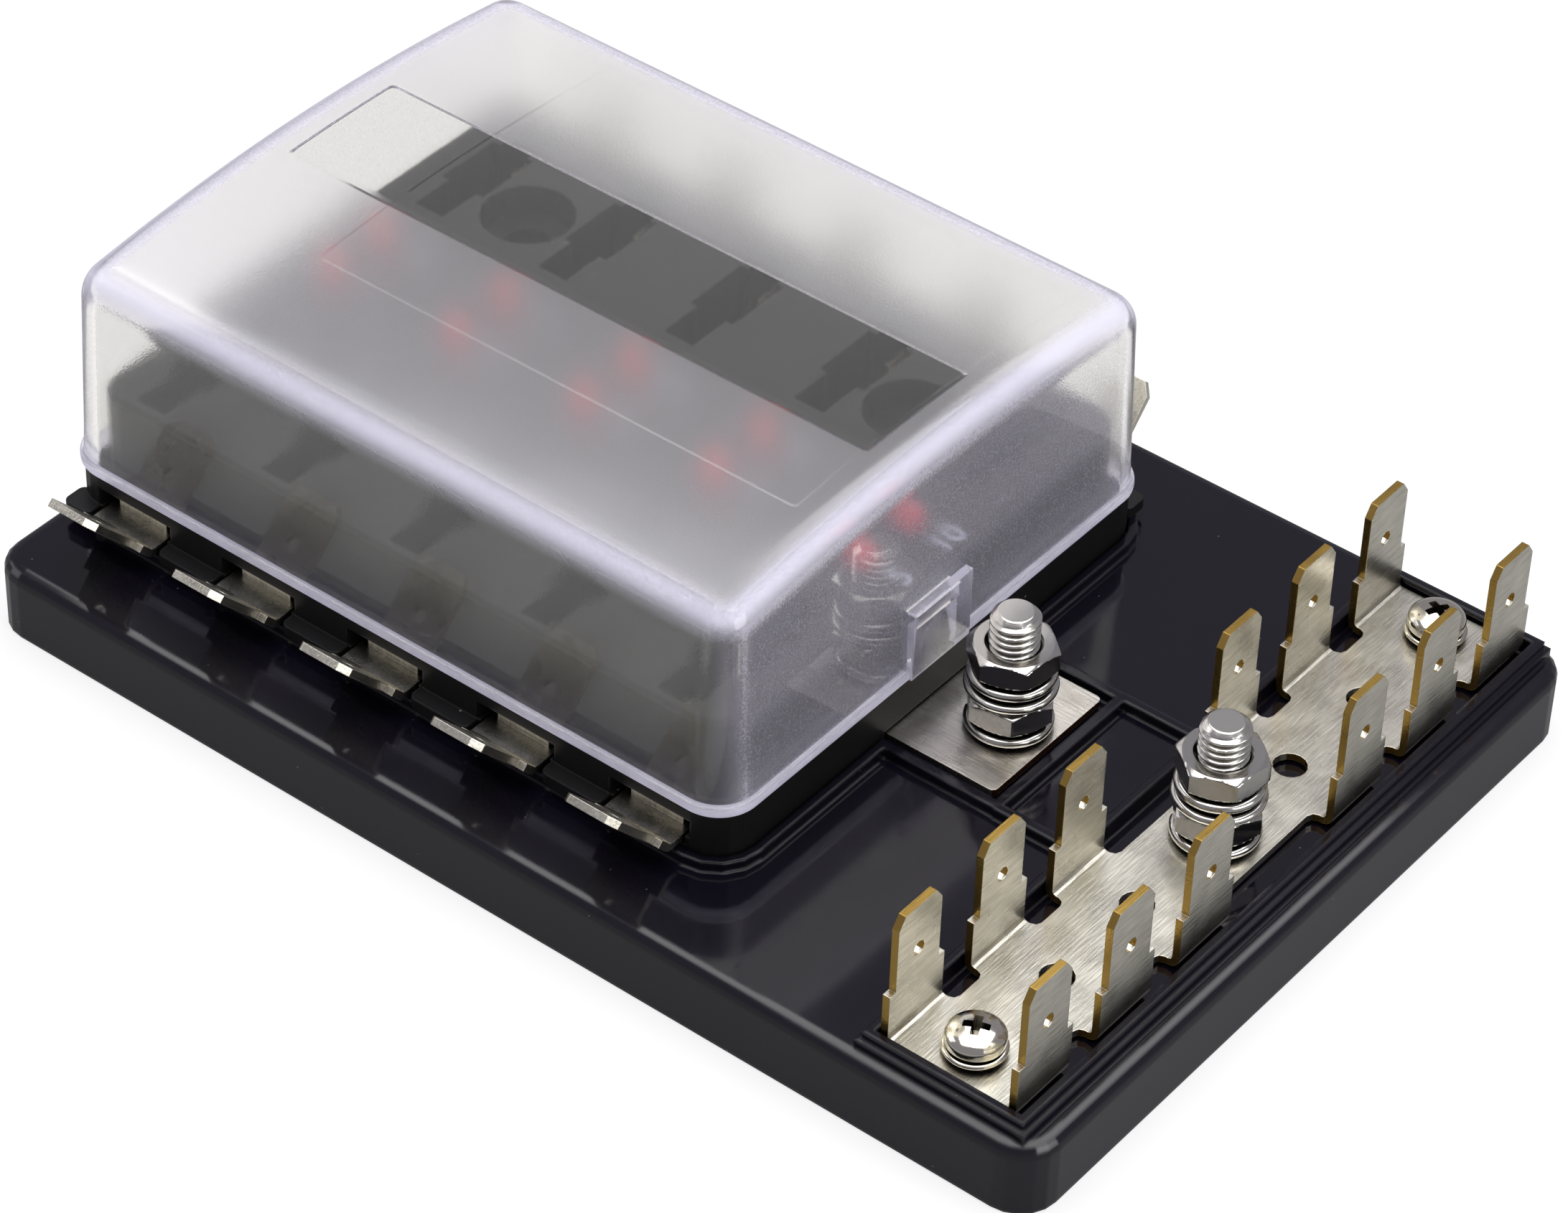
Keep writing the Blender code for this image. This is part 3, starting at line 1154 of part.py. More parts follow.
def make_resistor_mesh():
    """Axial resistor of the +Y side at x = 0, its far lead bent down to the terminal's leg."""
    x = RESISTOR_OFFSET_X
    half = RESISTOR_LENGTH / 2
    radius = RESISTOR_RADIUS
    shoulder = half - RESISTOR_END_EASE
    profile = [(0.0, half), (radius, shoulder), (radius, -shoulder), (0.0, -half)]
    body = turned("resistor_body", profile, 0, 0, 0, SMALL_STEPS)
    freeze(body)
    body.data.transform(Matrix.Translation((x, RESISTOR_Y, RESISTOR_Z)) @ Matrix.Rotation(
        math.pi / 2, 4, "X"))
    start = LED_Y + LED_LEAD_RADIUS + SEAT_GAP
    lead = wire("resistor_lead", [(x, start, RESISTOR_Z), (x, RESISTOR_END_Y, RESISTOR_Z),
                                  (x, RESISTOR_END_Y, LEG_TOP + SEAT_GAP)], LED_LEAD_RADIUS)
    combine(body, [lead], "UNION")
    return freeze(body).data


make_base()
make_housing()
make_cover()
make_input_busbar()
make_terminals()
make_ground_busbar()
make_stack("input", INPUT_STUD_X)
make_stack("ground", GROUND_CENTRE_X)
for screw_number, screw_row in enumerate(GROUND_SCREW_ROWS, start=1):
    make_ground_screw(screw_number, screw_row * GROUND_PITCH)
for screw_number, (screw_x, screw_y) in enumerate(fixing_places(), start=1):
    make_housing_screw(screw_number, screw_x, screw_y)
for led in place_in_rows("led", make_led_mesh(), RED_EPOXY):
    smooth(led)
for resistor in place_in_rows("resistor", make_resistor_mesh(), RESISTOR_LACQUER):
    smooth(resistor)
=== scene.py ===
# %% [markdown]
# # Dressing a blade fuse block
#
# The CAD model already has every piece at its real size: a black tray, a fuse housing, a lift-off
# cover, two M5 studs and a ground bar with spade tabs. This lesson gives each piece the surface
# that the real one has, and adds what is too fine for the solids: screw threads, split washers,
# the frosted skin of the cover and the little numbers beside the indicators.

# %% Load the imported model
import math

import bmesh
import bpy
import numpy as np
from mathutils import Matrix, Vector


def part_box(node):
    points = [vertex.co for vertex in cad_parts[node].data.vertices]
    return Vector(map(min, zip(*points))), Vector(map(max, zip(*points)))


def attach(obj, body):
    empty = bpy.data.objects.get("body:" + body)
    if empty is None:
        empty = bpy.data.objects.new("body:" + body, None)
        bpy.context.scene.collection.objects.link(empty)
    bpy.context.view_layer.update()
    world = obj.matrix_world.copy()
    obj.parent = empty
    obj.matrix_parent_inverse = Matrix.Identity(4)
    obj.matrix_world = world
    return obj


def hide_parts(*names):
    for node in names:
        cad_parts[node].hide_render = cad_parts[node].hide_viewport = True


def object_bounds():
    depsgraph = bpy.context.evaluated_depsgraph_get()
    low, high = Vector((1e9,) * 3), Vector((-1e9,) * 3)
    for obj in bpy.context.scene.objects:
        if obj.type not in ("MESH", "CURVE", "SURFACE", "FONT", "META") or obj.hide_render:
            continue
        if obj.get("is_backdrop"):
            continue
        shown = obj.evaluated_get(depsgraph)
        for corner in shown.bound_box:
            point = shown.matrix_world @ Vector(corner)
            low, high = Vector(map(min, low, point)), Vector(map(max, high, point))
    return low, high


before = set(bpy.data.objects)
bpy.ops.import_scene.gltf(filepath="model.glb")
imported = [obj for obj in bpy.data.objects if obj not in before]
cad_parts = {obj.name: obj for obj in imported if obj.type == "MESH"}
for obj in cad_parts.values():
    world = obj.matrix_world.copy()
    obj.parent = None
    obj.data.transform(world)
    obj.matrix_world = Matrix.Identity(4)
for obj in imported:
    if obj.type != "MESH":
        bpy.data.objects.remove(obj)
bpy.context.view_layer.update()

MM = 0.001

# %% [markdown]
# ## The camera
#
# A product photograph like this one is taken with a long lens from about half a metre. Where the
# holes of the tabs and the bar and the corners of the tray lie in it, together with the known
# width of a 6.3 mm tab, gives the place of the lens, its focal length and the small offset of
# its axis. We write that pose down as it is, because a view that is only roughly right makes
# every later comparison misleading.

# %% Camera
PHOTO_WIDTH = 2184
PHOTO_HEIGHT = 1690
EYE = (0.24827, -0.32817, 0.35874)
EYE_ANGLES = (49.5227, -1.4976, 38.5936)
FOCAL_LENGTH = 126.815
SENSOR_WIDTH = 36.0
AXIS_PIXEL = (1060.5, 848.0)
CLIP_START = 0.01
CLIP_END = 20.0


def in_scene(name, data):
    """Makes an object from its data and links it to the scene."""
    made = bpy.data.objects.new(name, data)
    bpy.context.scene.collection.objects.link(made)
    return made


camera_data = bpy.data.cameras.new("photo_camera")
camera_data.lens = FOCAL_LENGTH
camera_data.sensor_width = SENSOR_WIDTH
camera_data.shift_x = (PHOTO_WIDTH / 2 - AXIS_PIXEL[0]) / PHOTO_WIDTH
camera_data.shift_y = (AXIS_PIXEL[1] - PHOTO_HEIGHT / 2) / PHOTO_WIDTH
camera_data.clip_start = CLIP_START
camera_data.clip_end = CLIP_END
camera = in_scene("photo_camera", camera_data)
camera.location = EYE
camera.rotation_euler = [math.radians(angle) for angle in EYE_ANGLES]
bpy.context.scene.camera = camera
print("camera at", EYE)

# %% [markdown]
# ## Writing materials by hand
#
# A Principled BSDF covers plastic, metal and clear parts alike. Small helpers keep the materials
# short: one turns a hex colour, which is how colours are given here, into the linear numbers
# that the shader wants, and one adds any node with its settings and its links. The rest stand for
# the few nodes that nearly every material uses: arithmetic, ranges, mixes, noise and bump.

# %% Helpers for materials
def linear(hex_colour):
    """Turns #rrggbb in sRGB into linear red, green, blue and an alpha of 1."""
    parts = [int(hex_colour[i:i + 2], 16) / 255 for i in (1, 3, 5)]
    return [c / 12.92 if c <= 0.04045 else ((c + 0.055) / 1.055) ** 2.4 for c in parts] + [1.0]


def fill(tree, node, inputs):
    """Fills each named input of a node with a value or a link."""
    for name, value in inputs.items():
        if isinstance(value, bpy.types.NodeSocket):
            tree.links.new(value, node.inputs[name])
        else:
            node.inputs[name].default_value = value


def add(tree, kind, inputs=None, **settings):
    """Adds a node, sets its properties and fills its inputs."""
    node = tree.nodes.new(kind)
    for name, value in settings.items():
        setattr(node, name, value)
    fill(tree, node, inputs or {})
    return node


def new_material(name, **sockets):
    """A material with one Principled BSDF; returns it, its tree and the shader."""
    made = bpy.data.materials.new(name)
    made.use_nodes = True
    tree = made.node_tree
    shader = tree.nodes["Principled BSDF"]
    fill(tree, shader, {socket.replace("_", " "): value for socket, value in sockets.items()})
    return made, tree, shader


def object_place(tree):
    """The point in the object's own coordinates, so that a pattern rides with its piece."""
    return add(tree, "ShaderNodeTexCoord").outputs["Object"]


def calc(tree, operation, *values):
    """The result of one step of arithmetic."""
    return add(tree, "ShaderNodeMath", dict(enumerate(values)), operation=operation).outputs[0]


def remap(tree, value, low, high, start=0.0, end=1.0):
    """A value from start to end becomes one from low to high, and stays within them."""
    return add(tree, "ShaderNodeMapRange", {"Value": value, "From Min": start, "From Max": end,
                                            "To Min": low, "To Max": high}).outputs["Result"]


def between(tree, factor, first, second):
    """A number that goes from first to second as the factor rises."""
    return add(tree, "ShaderNodeMix", {"Factor": factor, "A": first,
                                       "B": second}).outputs["Result"]


def colour_mix(tree, factor, first, second, blend_type="MIX"):
    """A colour that goes from first to second as the factor rises."""
    return add(tree, "ShaderNodeMixRGB", {"Fac": factor, "Color1": first, "Color2": second},
               blend_type=blend_type).outputs["Color"]


def noise(tree, place, size, detail=2.0):
    """Noise with patches of about the given size."""
    return add(tree, "ShaderNodeTexNoise", {"Vector": place, "Scale": 1 / size,
                                            "Detail": detail}).outputs["Fac"]


def ramp(tree, factor, stops):
    """A colour ramp with (position, grey or colour) stops."""
    node = add(tree, "ShaderNodeValToRGB", {"Fac": factor})
    elements = node.color_ramp.elements
    while len(elements) < len(stops):
        elements.new(0.5)
    for element, (position, colour) in zip(elements, stops):
        element.position = position
        element.color = colour if not isinstance(colour, float) else (colour, colour, colour, 1)
    return node.outputs["Color"]


def bump(tree, height, strength, distance, normal=None):
    """A normal tilted by a height, on top of another normal when one is given."""
    under = {} if normal is None else {"Normal": normal}
    return add(tree, "ShaderNodeBump", {"Height": height, "Strength": strength,
                                        "Distance": distance, **under}).outputs["Normal"]


def soft_edges(tree, radius):
    """A normal that rounds the edges by the given radius."""
    return add(tree, "ShaderNodeBevel", {"Radius": radius}, samples=4).outputs["Normal"]


# %% [markdown]
# ## Moulded plastic
#
# The tray is injection-moulded ABS from a polished mould. ABS of this kind is nearly black with a
# violet cast, and mirrors the tabs above it almost sharply; what tells the eye that it is plastic
# is the dust it draws and a faint unevenness of the gloss. The housing is glass-filled nylon from
# a spark-eroded mould: the same black, but satin, with a fine grain.

# %% Gloss ABS of the tray
DUST_SPACING = 3.2 * MM
DUST_CORE = 0.6
ABS_DUST = 0.035
ABS_EDGE = 0.5 * MM
GLOSS_WAVE = 14.0 * MM
WAVE_DEPTH = 0.4 * MM
GLOSS_RANGE = (0.06, 0.13)
MIDDLE_OF_NOISE = (0.3, 0.7)


def dusty(tree, place, size, plastic, dust):
    """The plastic's colour with one small speck near each cell centre of a Voronoi pattern."""
    cells = add(tree, "ShaderNodeTexVoronoi", {"Vector": place, "Scale": 1 / DUST_SPACING,
                                               "Randomness": 1.0})
    specks = ramp(tree, cells.outputs["Distance"], [(size * DUST_CORE, 1.0), (size, 0.0)])
    return colour_mix(tree, specks, linear(plastic), linear(dust))


def gloss_abs():
    made, tree, shader = new_material("abs_polished_mould", Roughness=0.09, IOR=1.52)
    place = object_place(tree)
    wave = noise(tree, place, GLOSS_WAVE, 3.0)
    fill(tree, shader, {
        "Base Color": dusty(tree, place, ABS_DUST, "#0b0912", "#4c4a54"),
        "Roughness": remap(tree, wave, *GLOSS_RANGE, *MIDDLE_OF_NOISE),
        "Normal": bump(tree, wave, 0.05, WAVE_DEPTH, soft_edges(tree, ABS_EDGE))})
    return made


# %% Satin nylon of the housing
NYLON_DUST = 0.05
NYLON_EDGE = 0.25 * MM
GRAIN = 0.25 * MM
GRAIN_DEPTH = 0.03 * MM


def satin_nylon():
    made, tree, shader = new_material("nylon_spark_eroded_mould", Roughness=0.38, IOR=1.53,
                                      Specular_IOR_Level=0.25)
    place = object_place(tree)
    grain = noise(tree, place, GRAIN)
    fill(tree, shader, {
        "Base Color": dusty(tree, place, NYLON_DUST, "#131212", "#66635e"),
        "Normal": bump(tree, grain, 0.25, GRAIN_DEPTH, soft_edges(tree, NYLON_EDGE))})
    return made


# %% [markdown]
# ## Stamped and plated metal
#
# The tabs and the ground bar are brass strip, tin plated in the coil and stamped afterwards. So
# the flat faces are warm silver with fine rolling lines, and each sheared edge shows the bare
# brass. The input plate is tinned copper, cut the same way, so its edge is reddish brown. The
# material finds an edge by the direction its surface faces, and darkens its colour with painted
# shade where a corner or a recess lets little light in.

# %% Tinned strip with bare edges
ROLLING_LINE = 0.24 * MM
LINE_DEPTH = 0.05 * MM
LINE_SHARE = 0.6
STRIP_EDGE = 0.12 * MM
STAIN = 4.0 * MM
STAIN_RANGE = (0.35, 0.65)
STRIP_GLOSS_RANGE = (0.25, 0.31)
# Reach and strength of the painted shade in corners and recesses.
HOLLOW = 1.2 * MM
HOLLOW_RANGE = (0.15, 0.85)
DARKEST_HOLLOW = 0.35
SHEARED_FACING = 0.6
TIP_FACING = 0.5
TIP_ABOVE = 20.0 * MM


# Painted shade: an ambient occlusion node darkens the colour where little light gets in.
def tarnish(tree, colour):
    """Paints shade into a metal's colour in corners and recesses, from ambient occlusion."""
    hollow = add(tree, "ShaderNodeAmbientOcclusion", {"Distance": HOLLOW}, samples=8)
    shade = remap(tree, hollow.outputs["AO"], DARKEST_HOLLOW, 1.0, *HOLLOW_RANGE)
    return colour_mix(tree, 1.0, colour, shade, "MULTIPLY")


def edge_mask(tree, sheared_axis, with_tips):
    """1 where the object's own normal points along a sheared edge or, if asked, up at a tip."""
    coordinates = add(tree, "ShaderNodeTexCoord").outputs
    normal = add(tree, "ShaderNodeSeparateXYZ", {"Vector": coordinates["Normal"]}).outputs
    side = calc(tree, "ABSOLUTE", normal[sheared_axis])
    sheared = calc(tree, "GREATER_THAN", side, SHEARED_FACING)
    if not with_tips:
        return sheared
    place = add(tree, "ShaderNodeSeparateXYZ", {"Vector": coordinates["Object"]}).outputs
    high = calc(tree, "GREATER_THAN", place["Z"], TIP_ABOVE)
    up = calc(tree, "GREATER_THAN", normal["Z"], TIP_FACING)
    return calc(tree, "MAXIMUM", sheared, calc(tree, "MULTIPLY", high, up))


def plated_strip(name, plate, edge, edge_axis, with_tips=True, line_stretch=(1, 12, 1)):
    """Tin with rolling lines and stains, from one tone of plate to the other, and a bare edge."""
    made, tree, shader = new_material(name, Metallic=1.0, Roughness=0.28)
    place = object_place(tree)
    stretched = add(tree, "ShaderNodeMapping", {"Vector": place,
                                                "Scale": [1 / s for s in line_stretch]})
    lines = noise(tree, stretched.outputs["Vector"], ROLLING_LINE, 3.0)
    stain = noise(tree, place, STAIN, 4.0)
    tones = [(position, linear(tone)) for position, tone in zip(STAIN_RANGE, plate)]
    tone = ramp(tree, between(tree, LINE_SHARE, stain, lines), tones)
    colour = colour_mix(tree, edge_mask(tree, edge_axis, with_tips), tone, linear(edge))
    fill(tree, shader, {
        # The colour carries painted shade in corners and recesses.
        "Base Color": tarnish(tree, colour),
        "Roughness": remap(tree, stain, *STRIP_GLOSS_RANGE, *MIDDLE_OF_NOISE),
        "Normal": bump(tree, lines, 0.5, LINE_DEPTH, soft_edges(tree, STRIP_EDGE))})
    return made


# %% [markdown]
# ## Turned and headed steel
#
# Studs, nuts and washers are stainless steel, cold headed and then tumbled bright. Tumbling
# leaves soft dents rather than lines, so the gloss is broken by a small smooth bump. The pan head
# screws are nickel plated, a little warmer and brighter. The same painted shade as on the strip
# darkens the thread's roots and the gaps between the washers.

# %% Bright fasteners
TUMBLE_DENT = 0.7 * MM
DENT_DEPTH = 0.06 * MM


def bright_steel(name, hex_colour, roughness, dent=0.15):
    """Bright metal with soft dents of the given strength."""
    made, tree, shader = new_material(name, Metallic=1.0, Roughness=roughness)
    dents = noise(tree, object_place(tree), TUMBLE_DENT)
    # The colour carries painted shade in corners and recesses.
    fill(tree, shader, {"Base Color": tarnish(tree, linear(hex_colour)),
                        "Normal": bump(tree, dents, dent, DENT_DEPTH)})
    return made


# %% [markdown]
# ## Indicators and resistors
#
# The blown-fuse indicators are 3 mm LEDs in red epoxy, dull and dark when unlit. The resistors
# are lacquered carbon film, in a buff colour. Both have a tone that drifts a little.

# %% Epoxy and lacquer
def cloudy(name, size, dark, light, **sockets):
    """A plain material whose tone drifts between two hex colours in patches of a given size."""
    made, tree, shader = new_material(name, **sockets)
    cloud = noise(tree, object_place(tree), size)
    tones = list(zip(MIDDLE_OF_NOISE, (linear(dark), linear(light))))
    fill(tree, shader, {"Base Color": ramp(tree, cloud, tones)})
    return made


# %% Give the CAD nodes their materials
ABS = gloss_abs()
NYLON = satin_nylon()
TIN_ON_BRASS_BAR = plated_strip("brass_strip_tinned_bar", ("#d0ccbe", "#f4f0e2"), "#b8974f", "Y")
TIN_ON_BRASS_TAB = plated_strip("brass_strip_tinned_tab", ("#b5b1a4", "#e0dccf"), "#e0dbcc", "X",
                                with_tips=False, line_stretch=(1, 1, 12))
TIN_ON_COPPER = plated_strip("copper_strip_tinned", ("#d0cabe", "#f2eee4"), "#b46a30", "X",
                             line_stretch=(12, 1, 1))
STAINLESS = bright_steel("stainless_steel_tumbled", "#cbc8c3", 0.16)
ROLLED_THREAD = bright_steel("stainless_steel_rolled", "#d2cfc9", 0.2, 0.03)
NICKEL = bright_steel("nickel_plated_steel", "#d9d4c8", 0.13)
ZINC = bright_steel("zinc_plated_steel", "#c4c6ca", 0.28)
EPOXY = cloudy("epoxy_red_cast", 1.5 * MM, "#a81a26", "#c8343e", Roughness=0.12, IOR=1.55)
LACQUER = cloudy("lacquer_dipped_resistor", 2.0 * MM, "#c3a878", "#d8c196", Roughness=0.4)

FINISHES = [("base_plate", ABS), ("fuse_housing", NYLON), ("input_busbar", TIN_ON_COPPER),
            ("ground_busbar", TIN_ON_BRASS_BAR), ("terminal", TIN_ON_BRASS_TAB),
            ("ground_screw", NICKEL), ("input", STAINLESS), ("ground", STAINLESS),
            ("led", EPOXY), ("resistor", LACQUER), ("housing_screw", ZINC)]


def finish_for(node_name):
    """The first finish whose prefix fits the node's name."""
    for prefix, look in FINISHES:
        if node_name.startswith(prefix):
            return look
    return None


for node_name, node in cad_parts.items():
    look = finish_for(node_name)
    if look:
        node.data.materials.clear()
        node.data.materials.append(look)
print("finished nodes:", sum(1 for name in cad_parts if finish_for(name)))

# %% [markdown]
# ## Surfaces from numbers
#
# Each added piece is a surface over two parameters. The shape is worked out for a whole grid at
# once, and a helper turns the grid into a mesh. Its columns always meet again; its ends are
# either closed by a fan each, or meet as well, which makes a ring.

# %% Grid to mesh
MERGE_DISTANCE = 0.002 * MM


def grid_faces(rows, columns, rows_meet=False):
    """Quads over a grid whose columns wrap round, and whose rows do when they meet."""
    row, column = np.meshgrid(np.arange(rows if rows_meet else rows - 1), np.arange(columns),
                              indexing="ij")
    next_row = (row + 1) % rows * columns
    next_column = (column + 1) % columns
    return np.stack([row * columns + column, row * columns + next_column,
                     next_row + next_column, next_row + column], axis=-1).reshape(-1, 4)


def mesh_from(name, points, faces):
    mesh = bpy.data.meshes.new(name)
    mesh.from_pydata(points.tolist(), [], [list(face) for face in faces])
    mesh.validate()
    return mesh


def ring_surface(name, grid):
    """A grid of rows of points whose rows and columns both meet again."""
    rows, columns, _ = grid.shape
    return mesh_from(name, grid.reshape(-1, 3), grid_faces(rows, columns, True))


def closed_surface(name, grid):
    """A tube-like grid of rows of points, wrapped round and closed by a fan at each end."""
    rows, columns, _ = grid.shape
    points = grid.reshape(-1, 3)
    poles = np.array([grid[0].mean(axis=0), grid[-1].mean(axis=0)])
    faces = grid_faces(rows, columns).tolist()
    start = rows * columns
    last = (rows - 1) * columns
    ring = np.arange(columns)
    after = (ring + 1) % columns
    faces += np.stack([after, ring, np.full(columns, start)], axis=-1).tolist()
    faces += np.stack([last + ring, last + after, np.full(columns, start + 1)],
                      axis=-1).tolist()
    return mesh_from(name, np.vstack([points, poles]), faces)


def face_out(mesh):
    """Merges doubles and turns every face outwards."""
    shape = bmesh.new()
    shape.from_mesh(mesh)
    bmesh.ops.remove_doubles(shape, verts=shape.verts, dist=MERGE_DISTANCE)
    bmesh.ops.recalc_face_normals(shape, faces=shape.faces)
    shape.to_mesh(mesh)
    shape.free()


def full_turn(steps):
    """Evenly spaced angles round one turn."""
    return np.linspace(0, 2 * math.pi, steps, endpoint=False)


def round_axis(x, y, radius, angle, height):
    """Points round an upright axis at x, y."""
    radius, angle, height = np.broadcast_arrays(radius, angle, height)
    return np.stack([x + radius * np.cos(angle), y + radius * np.sin(angle), height], axis=-1)


def hexagon_radius(flats, angle):
    """How far the side of a hexagon is from its middle, in each direction."""
    return flats / 2 / np.cos((angle % (math.pi / 3)) - math.pi / 6)


def put_piece(name, mesh, looks, body, smooth_below=40):
    """Links a finished mesh as a piece that rides on a CAD body."""
    mesh.shade_smooth()
    mesh.set_sharp_from_angle(angle=math.radians(smooth_below))
    made = in_scene(name, mesh)
    for look in looks:
        if look.name not in mesh.materials:
            mesh.materials.append(look)
    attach(made, body)
    return made


# %% [markdown]
# ## Threaded studs
#
# The real studs are M5 with a coarse 0.8 mm pitch. A thread is a cylinder whose radius goes up
# and down along the height, shifted by one pitch for each turn, so one formula gives the whole
# helix. It fades out at the chamfered tip, as a rolled thread does.

# %% Studs
STUD_SIDES = 72
THREAD_ROWS = 300
THREAD_PITCH = 0.8 * MM
CREST_RADIUS = 2.48 * MM
ROOT_RADIUS = 2.02 * MM
ROOT_FLAT = 0.12
FLANK = 0.70
TIP_CHAMFER = 0.45 * MM
TIP_DOME = 0.25 * MM
TIP_ROUND = 0.14
TIP_SHARES = np.array([0.97, 0.93, 0.90, 0.86, 0.80, 0.60, 0.35, 0.15])
HEAD_HEIGHT = 3.0 * MM
HEAD_FLATS = 8.0 * MM
BAR_THICKNESS = 0.8 * MM
THREAD_ABOVE_BAR = 0.3 * MM
NECK_STEP = 0.05 * MM


def thread_wave(turns):
    """A 60 degree thread form: 0 in the root, 1 on the crest, with short flats on both."""
    phase = np.abs((turns % 1.0) * 2 - 1)
    return np.clip((phase - ROOT_FLAT) / FLANK, 0, 1)


def stud_mesh(name, x, bottom, top, thread_start):
    """Radius = root + depth * wave(height / pitch - angle / turn), capped by the tip's cone."""
    height = np.linspace(thread_start, top, THREAD_ROWS)[:, None]
    angle = full_turn(STUD_SIDES)
    wave = thread_wave(height / THREAD_PITCH - angle / (2 * math.pi))
    radius = ROOT_RADIUS + (CREST_RADIUS - ROOT_RADIUS) * wave
    radius = np.minimum(radius, CREST_RADIUS - np.clip(height - (top - TIP_CHAMFER), 0, None))
    thread = round_axis(x, 0.0, radius, angle, height)
    cap = (CREST_RADIUS - TIP_CHAMFER) * TIP_SHARES
    dome = top + TIP_DOME * np.clip((1 - TIP_SHARES) / TIP_ROUND, 0, 1)
    tip = round_axis(x, 0.0, cap[:, None], angle, dome[:, None])
    head_top = bottom + HEAD_HEIGHT
    flats = hexagon_radius(HEAD_FLATS, angle)
    sizes = [(flats, bottom), (flats, head_top), (CREST_RADIUS, head_top),
             (CREST_RADIUS, thread_start - NECK_STEP)]
    shank = np.stack([round_axis(x, 0.0, size, angle, level) for size, level in sizes])
    mesh = closed_surface(name, np.concatenate([shank, thread, tip]))
    face_out(mesh)
    return mesh


for prefix in ("input", "ground"):
    low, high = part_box(prefix + "_stud")
    bar_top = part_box(prefix + "_busbar")[0].z + BAR_THICKNESS
    mesh = stud_mesh(prefix + "_stud_threaded", (low.x + high.x) / 2, low.z, high.z - TIP_DOME,
                     bar_top + THREAD_ABOVE_BAR)
    stud = put_piece(prefix + "_stud_threaded", mesh, [ROLLED_THREAD], "block",
                     50)
    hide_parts(prefix + "_stud")
print("threaded studs:", 2)

# %% [markdown]
# ## Nuts and washers
#
# A thin hexagon nut has a 30 degree chamfer on both faces, which cuts the corners back in the
# curved line that makes a nut look like a nut. Its radius is the smaller of the hexagon's and
# the chamfer cone's at each height. The washers are rounded wire rings; a lock washer is one
# turn of such a wire, cut through and sprung apart.

# %% Nuts
NUT_SIDES = 96
NUT_FLATS = 8.0 * MM
NUT_BORE = 2.6 * MM
BORE_LIP = 0.25 * MM
BORE_CHAMFER = 0.2 * MM
FACE_SHARE = 0.965
CHAMFER_ENDS_AT = 0.55
CHAMFER_STEPS = 8
CHAMFER_SLOPE = math.tan(math.radians(30))


def nut_mesh(name, x, low, high, turn):
    """Radius = min(hexagon, chamfer cone), down the outside and back up the bore."""
    half = (high - low) / 2
    upper = np.linspace(1.0, CHAMFER_ENDS_AT, CHAMFER_STEPS)
    steps = np.concatenate([[1.0], upper, -upper[::-1], [-1.0]])
    cone = NUT_FLATS / 2 * FACE_SHARE + (1 - np.abs(steps)) * half / CHAMFER_SLOPE
    angle = full_turn(NUT_SIDES)
    radius = np.minimum(hexagon_radius(NUT_FLATS, angle - turn), cone[:, None])
    radius[0] = radius[-1] = NUT_BORE + BORE_LIP
    radius = np.vstack([radius, np.full((2, NUT_SIDES), NUT_BORE)])
    level = (low + high) / 2 + np.concatenate([steps * half, [BORE_CHAMFER - half,
                                                               half - BORE_CHAMFER]])
    mesh = ring_surface(name, round_axis(x, 0.0, radius, angle, level[:, None]))
    face_out(mesh)
    return mesh


NUT_TURNS = {"input_nut_lower": 8, "input_nut_upper": 22, "ground_nut_lower": 8,
             "ground_nut_upper": 22}
for node_name, degrees in NUT_TURNS.items():
    low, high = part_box(node_name)
    mesh = nut_mesh(node_name + "_chamfered", (low.x + high.x) / 2, low.z, high.z,
                    math.radians(degrees))
    nut = put_piece(node_name + "_chamfered", mesh, [STAINLESS], "block", 25)
    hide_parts(node_name)
print("nuts:", len(NUT_TURNS))

# %% Washers
WASHER_BORE = 2.8 * MM
WASHER_STEPS = 96
WIRE_SIDES = 20
WIRE_ROUNDING = 0.8
SPRUNG_TURN = 0.965


def ring_mesh(name, x, y, low, high, bore, outer, rise, start):
    """A rounded section carried round the stud; with a rise it is one sprung turn of a helix."""
    half_w = (outer - bore) / 2
    half_h = (high - low) / 2 - rise / 2
    around = WASHER_STEPS + 1 if rise else WASHER_STEPS
    sweep = 2 * math.pi * (SPRUNG_TURN if rise else 1.0)
    turn = start + np.linspace(0, sweep, around, endpoint=bool(rise))[:, None]
    section = full_turn(WIRE_SIDES)
    across, up = [half * np.sign(wave) * np.abs(wave) ** WIRE_ROUNDING
                  for half, wave in ((half_w, np.cos(section)), (half_h, np.sin(section)))]
    lift = rise * (np.linspace(0, 1, around) - 0.5)[:, None]
    grid = round_axis(x, y, bore + half_w + across, turn, (low + high) / 2 + lift + up)
    mesh = closed_surface(name, grid) if rise else ring_surface(name, grid)
    face_out(mesh)
    return mesh


# Each row: the washer, how far it is sprung in mm, and where its gap is in degrees.
WASHERS = [("input_lock_washer_lower", 0.16, 200), ("input_lock_washer_upper", 0.10, 150),
           ("input_flat_washer", 0.0, 0), ("ground_lock_washer_lower", 0.16, 200),
           ("ground_lock_washer_upper", 0.10, 150), ("ground_flat_washer", 0.0, 0)]
for node_name, rise, degrees in WASHERS:
    low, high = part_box(node_name)
    mesh = ring_mesh(node_name + "_rounded", (low.x + high.x) / 2, 0.0, low.z, high.z,
                     WASHER_BORE, (high.x - low.x) / 2, rise * MM, math.radians(degrees))
    washer = put_piece(node_name + "_rounded", mesh, [STAINLESS], "block")
    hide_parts(node_name)
print("washers:", len(WASHERS))

# %% [markdown]
# ## Pan head screws
#
# The two M3 screws that hold the ground bar have low rounded heads. The head is one curve turned
# round its axis, and the cross recess is cut from it with two tapered wedges, the way the punch
# of a heading machine presses it in.

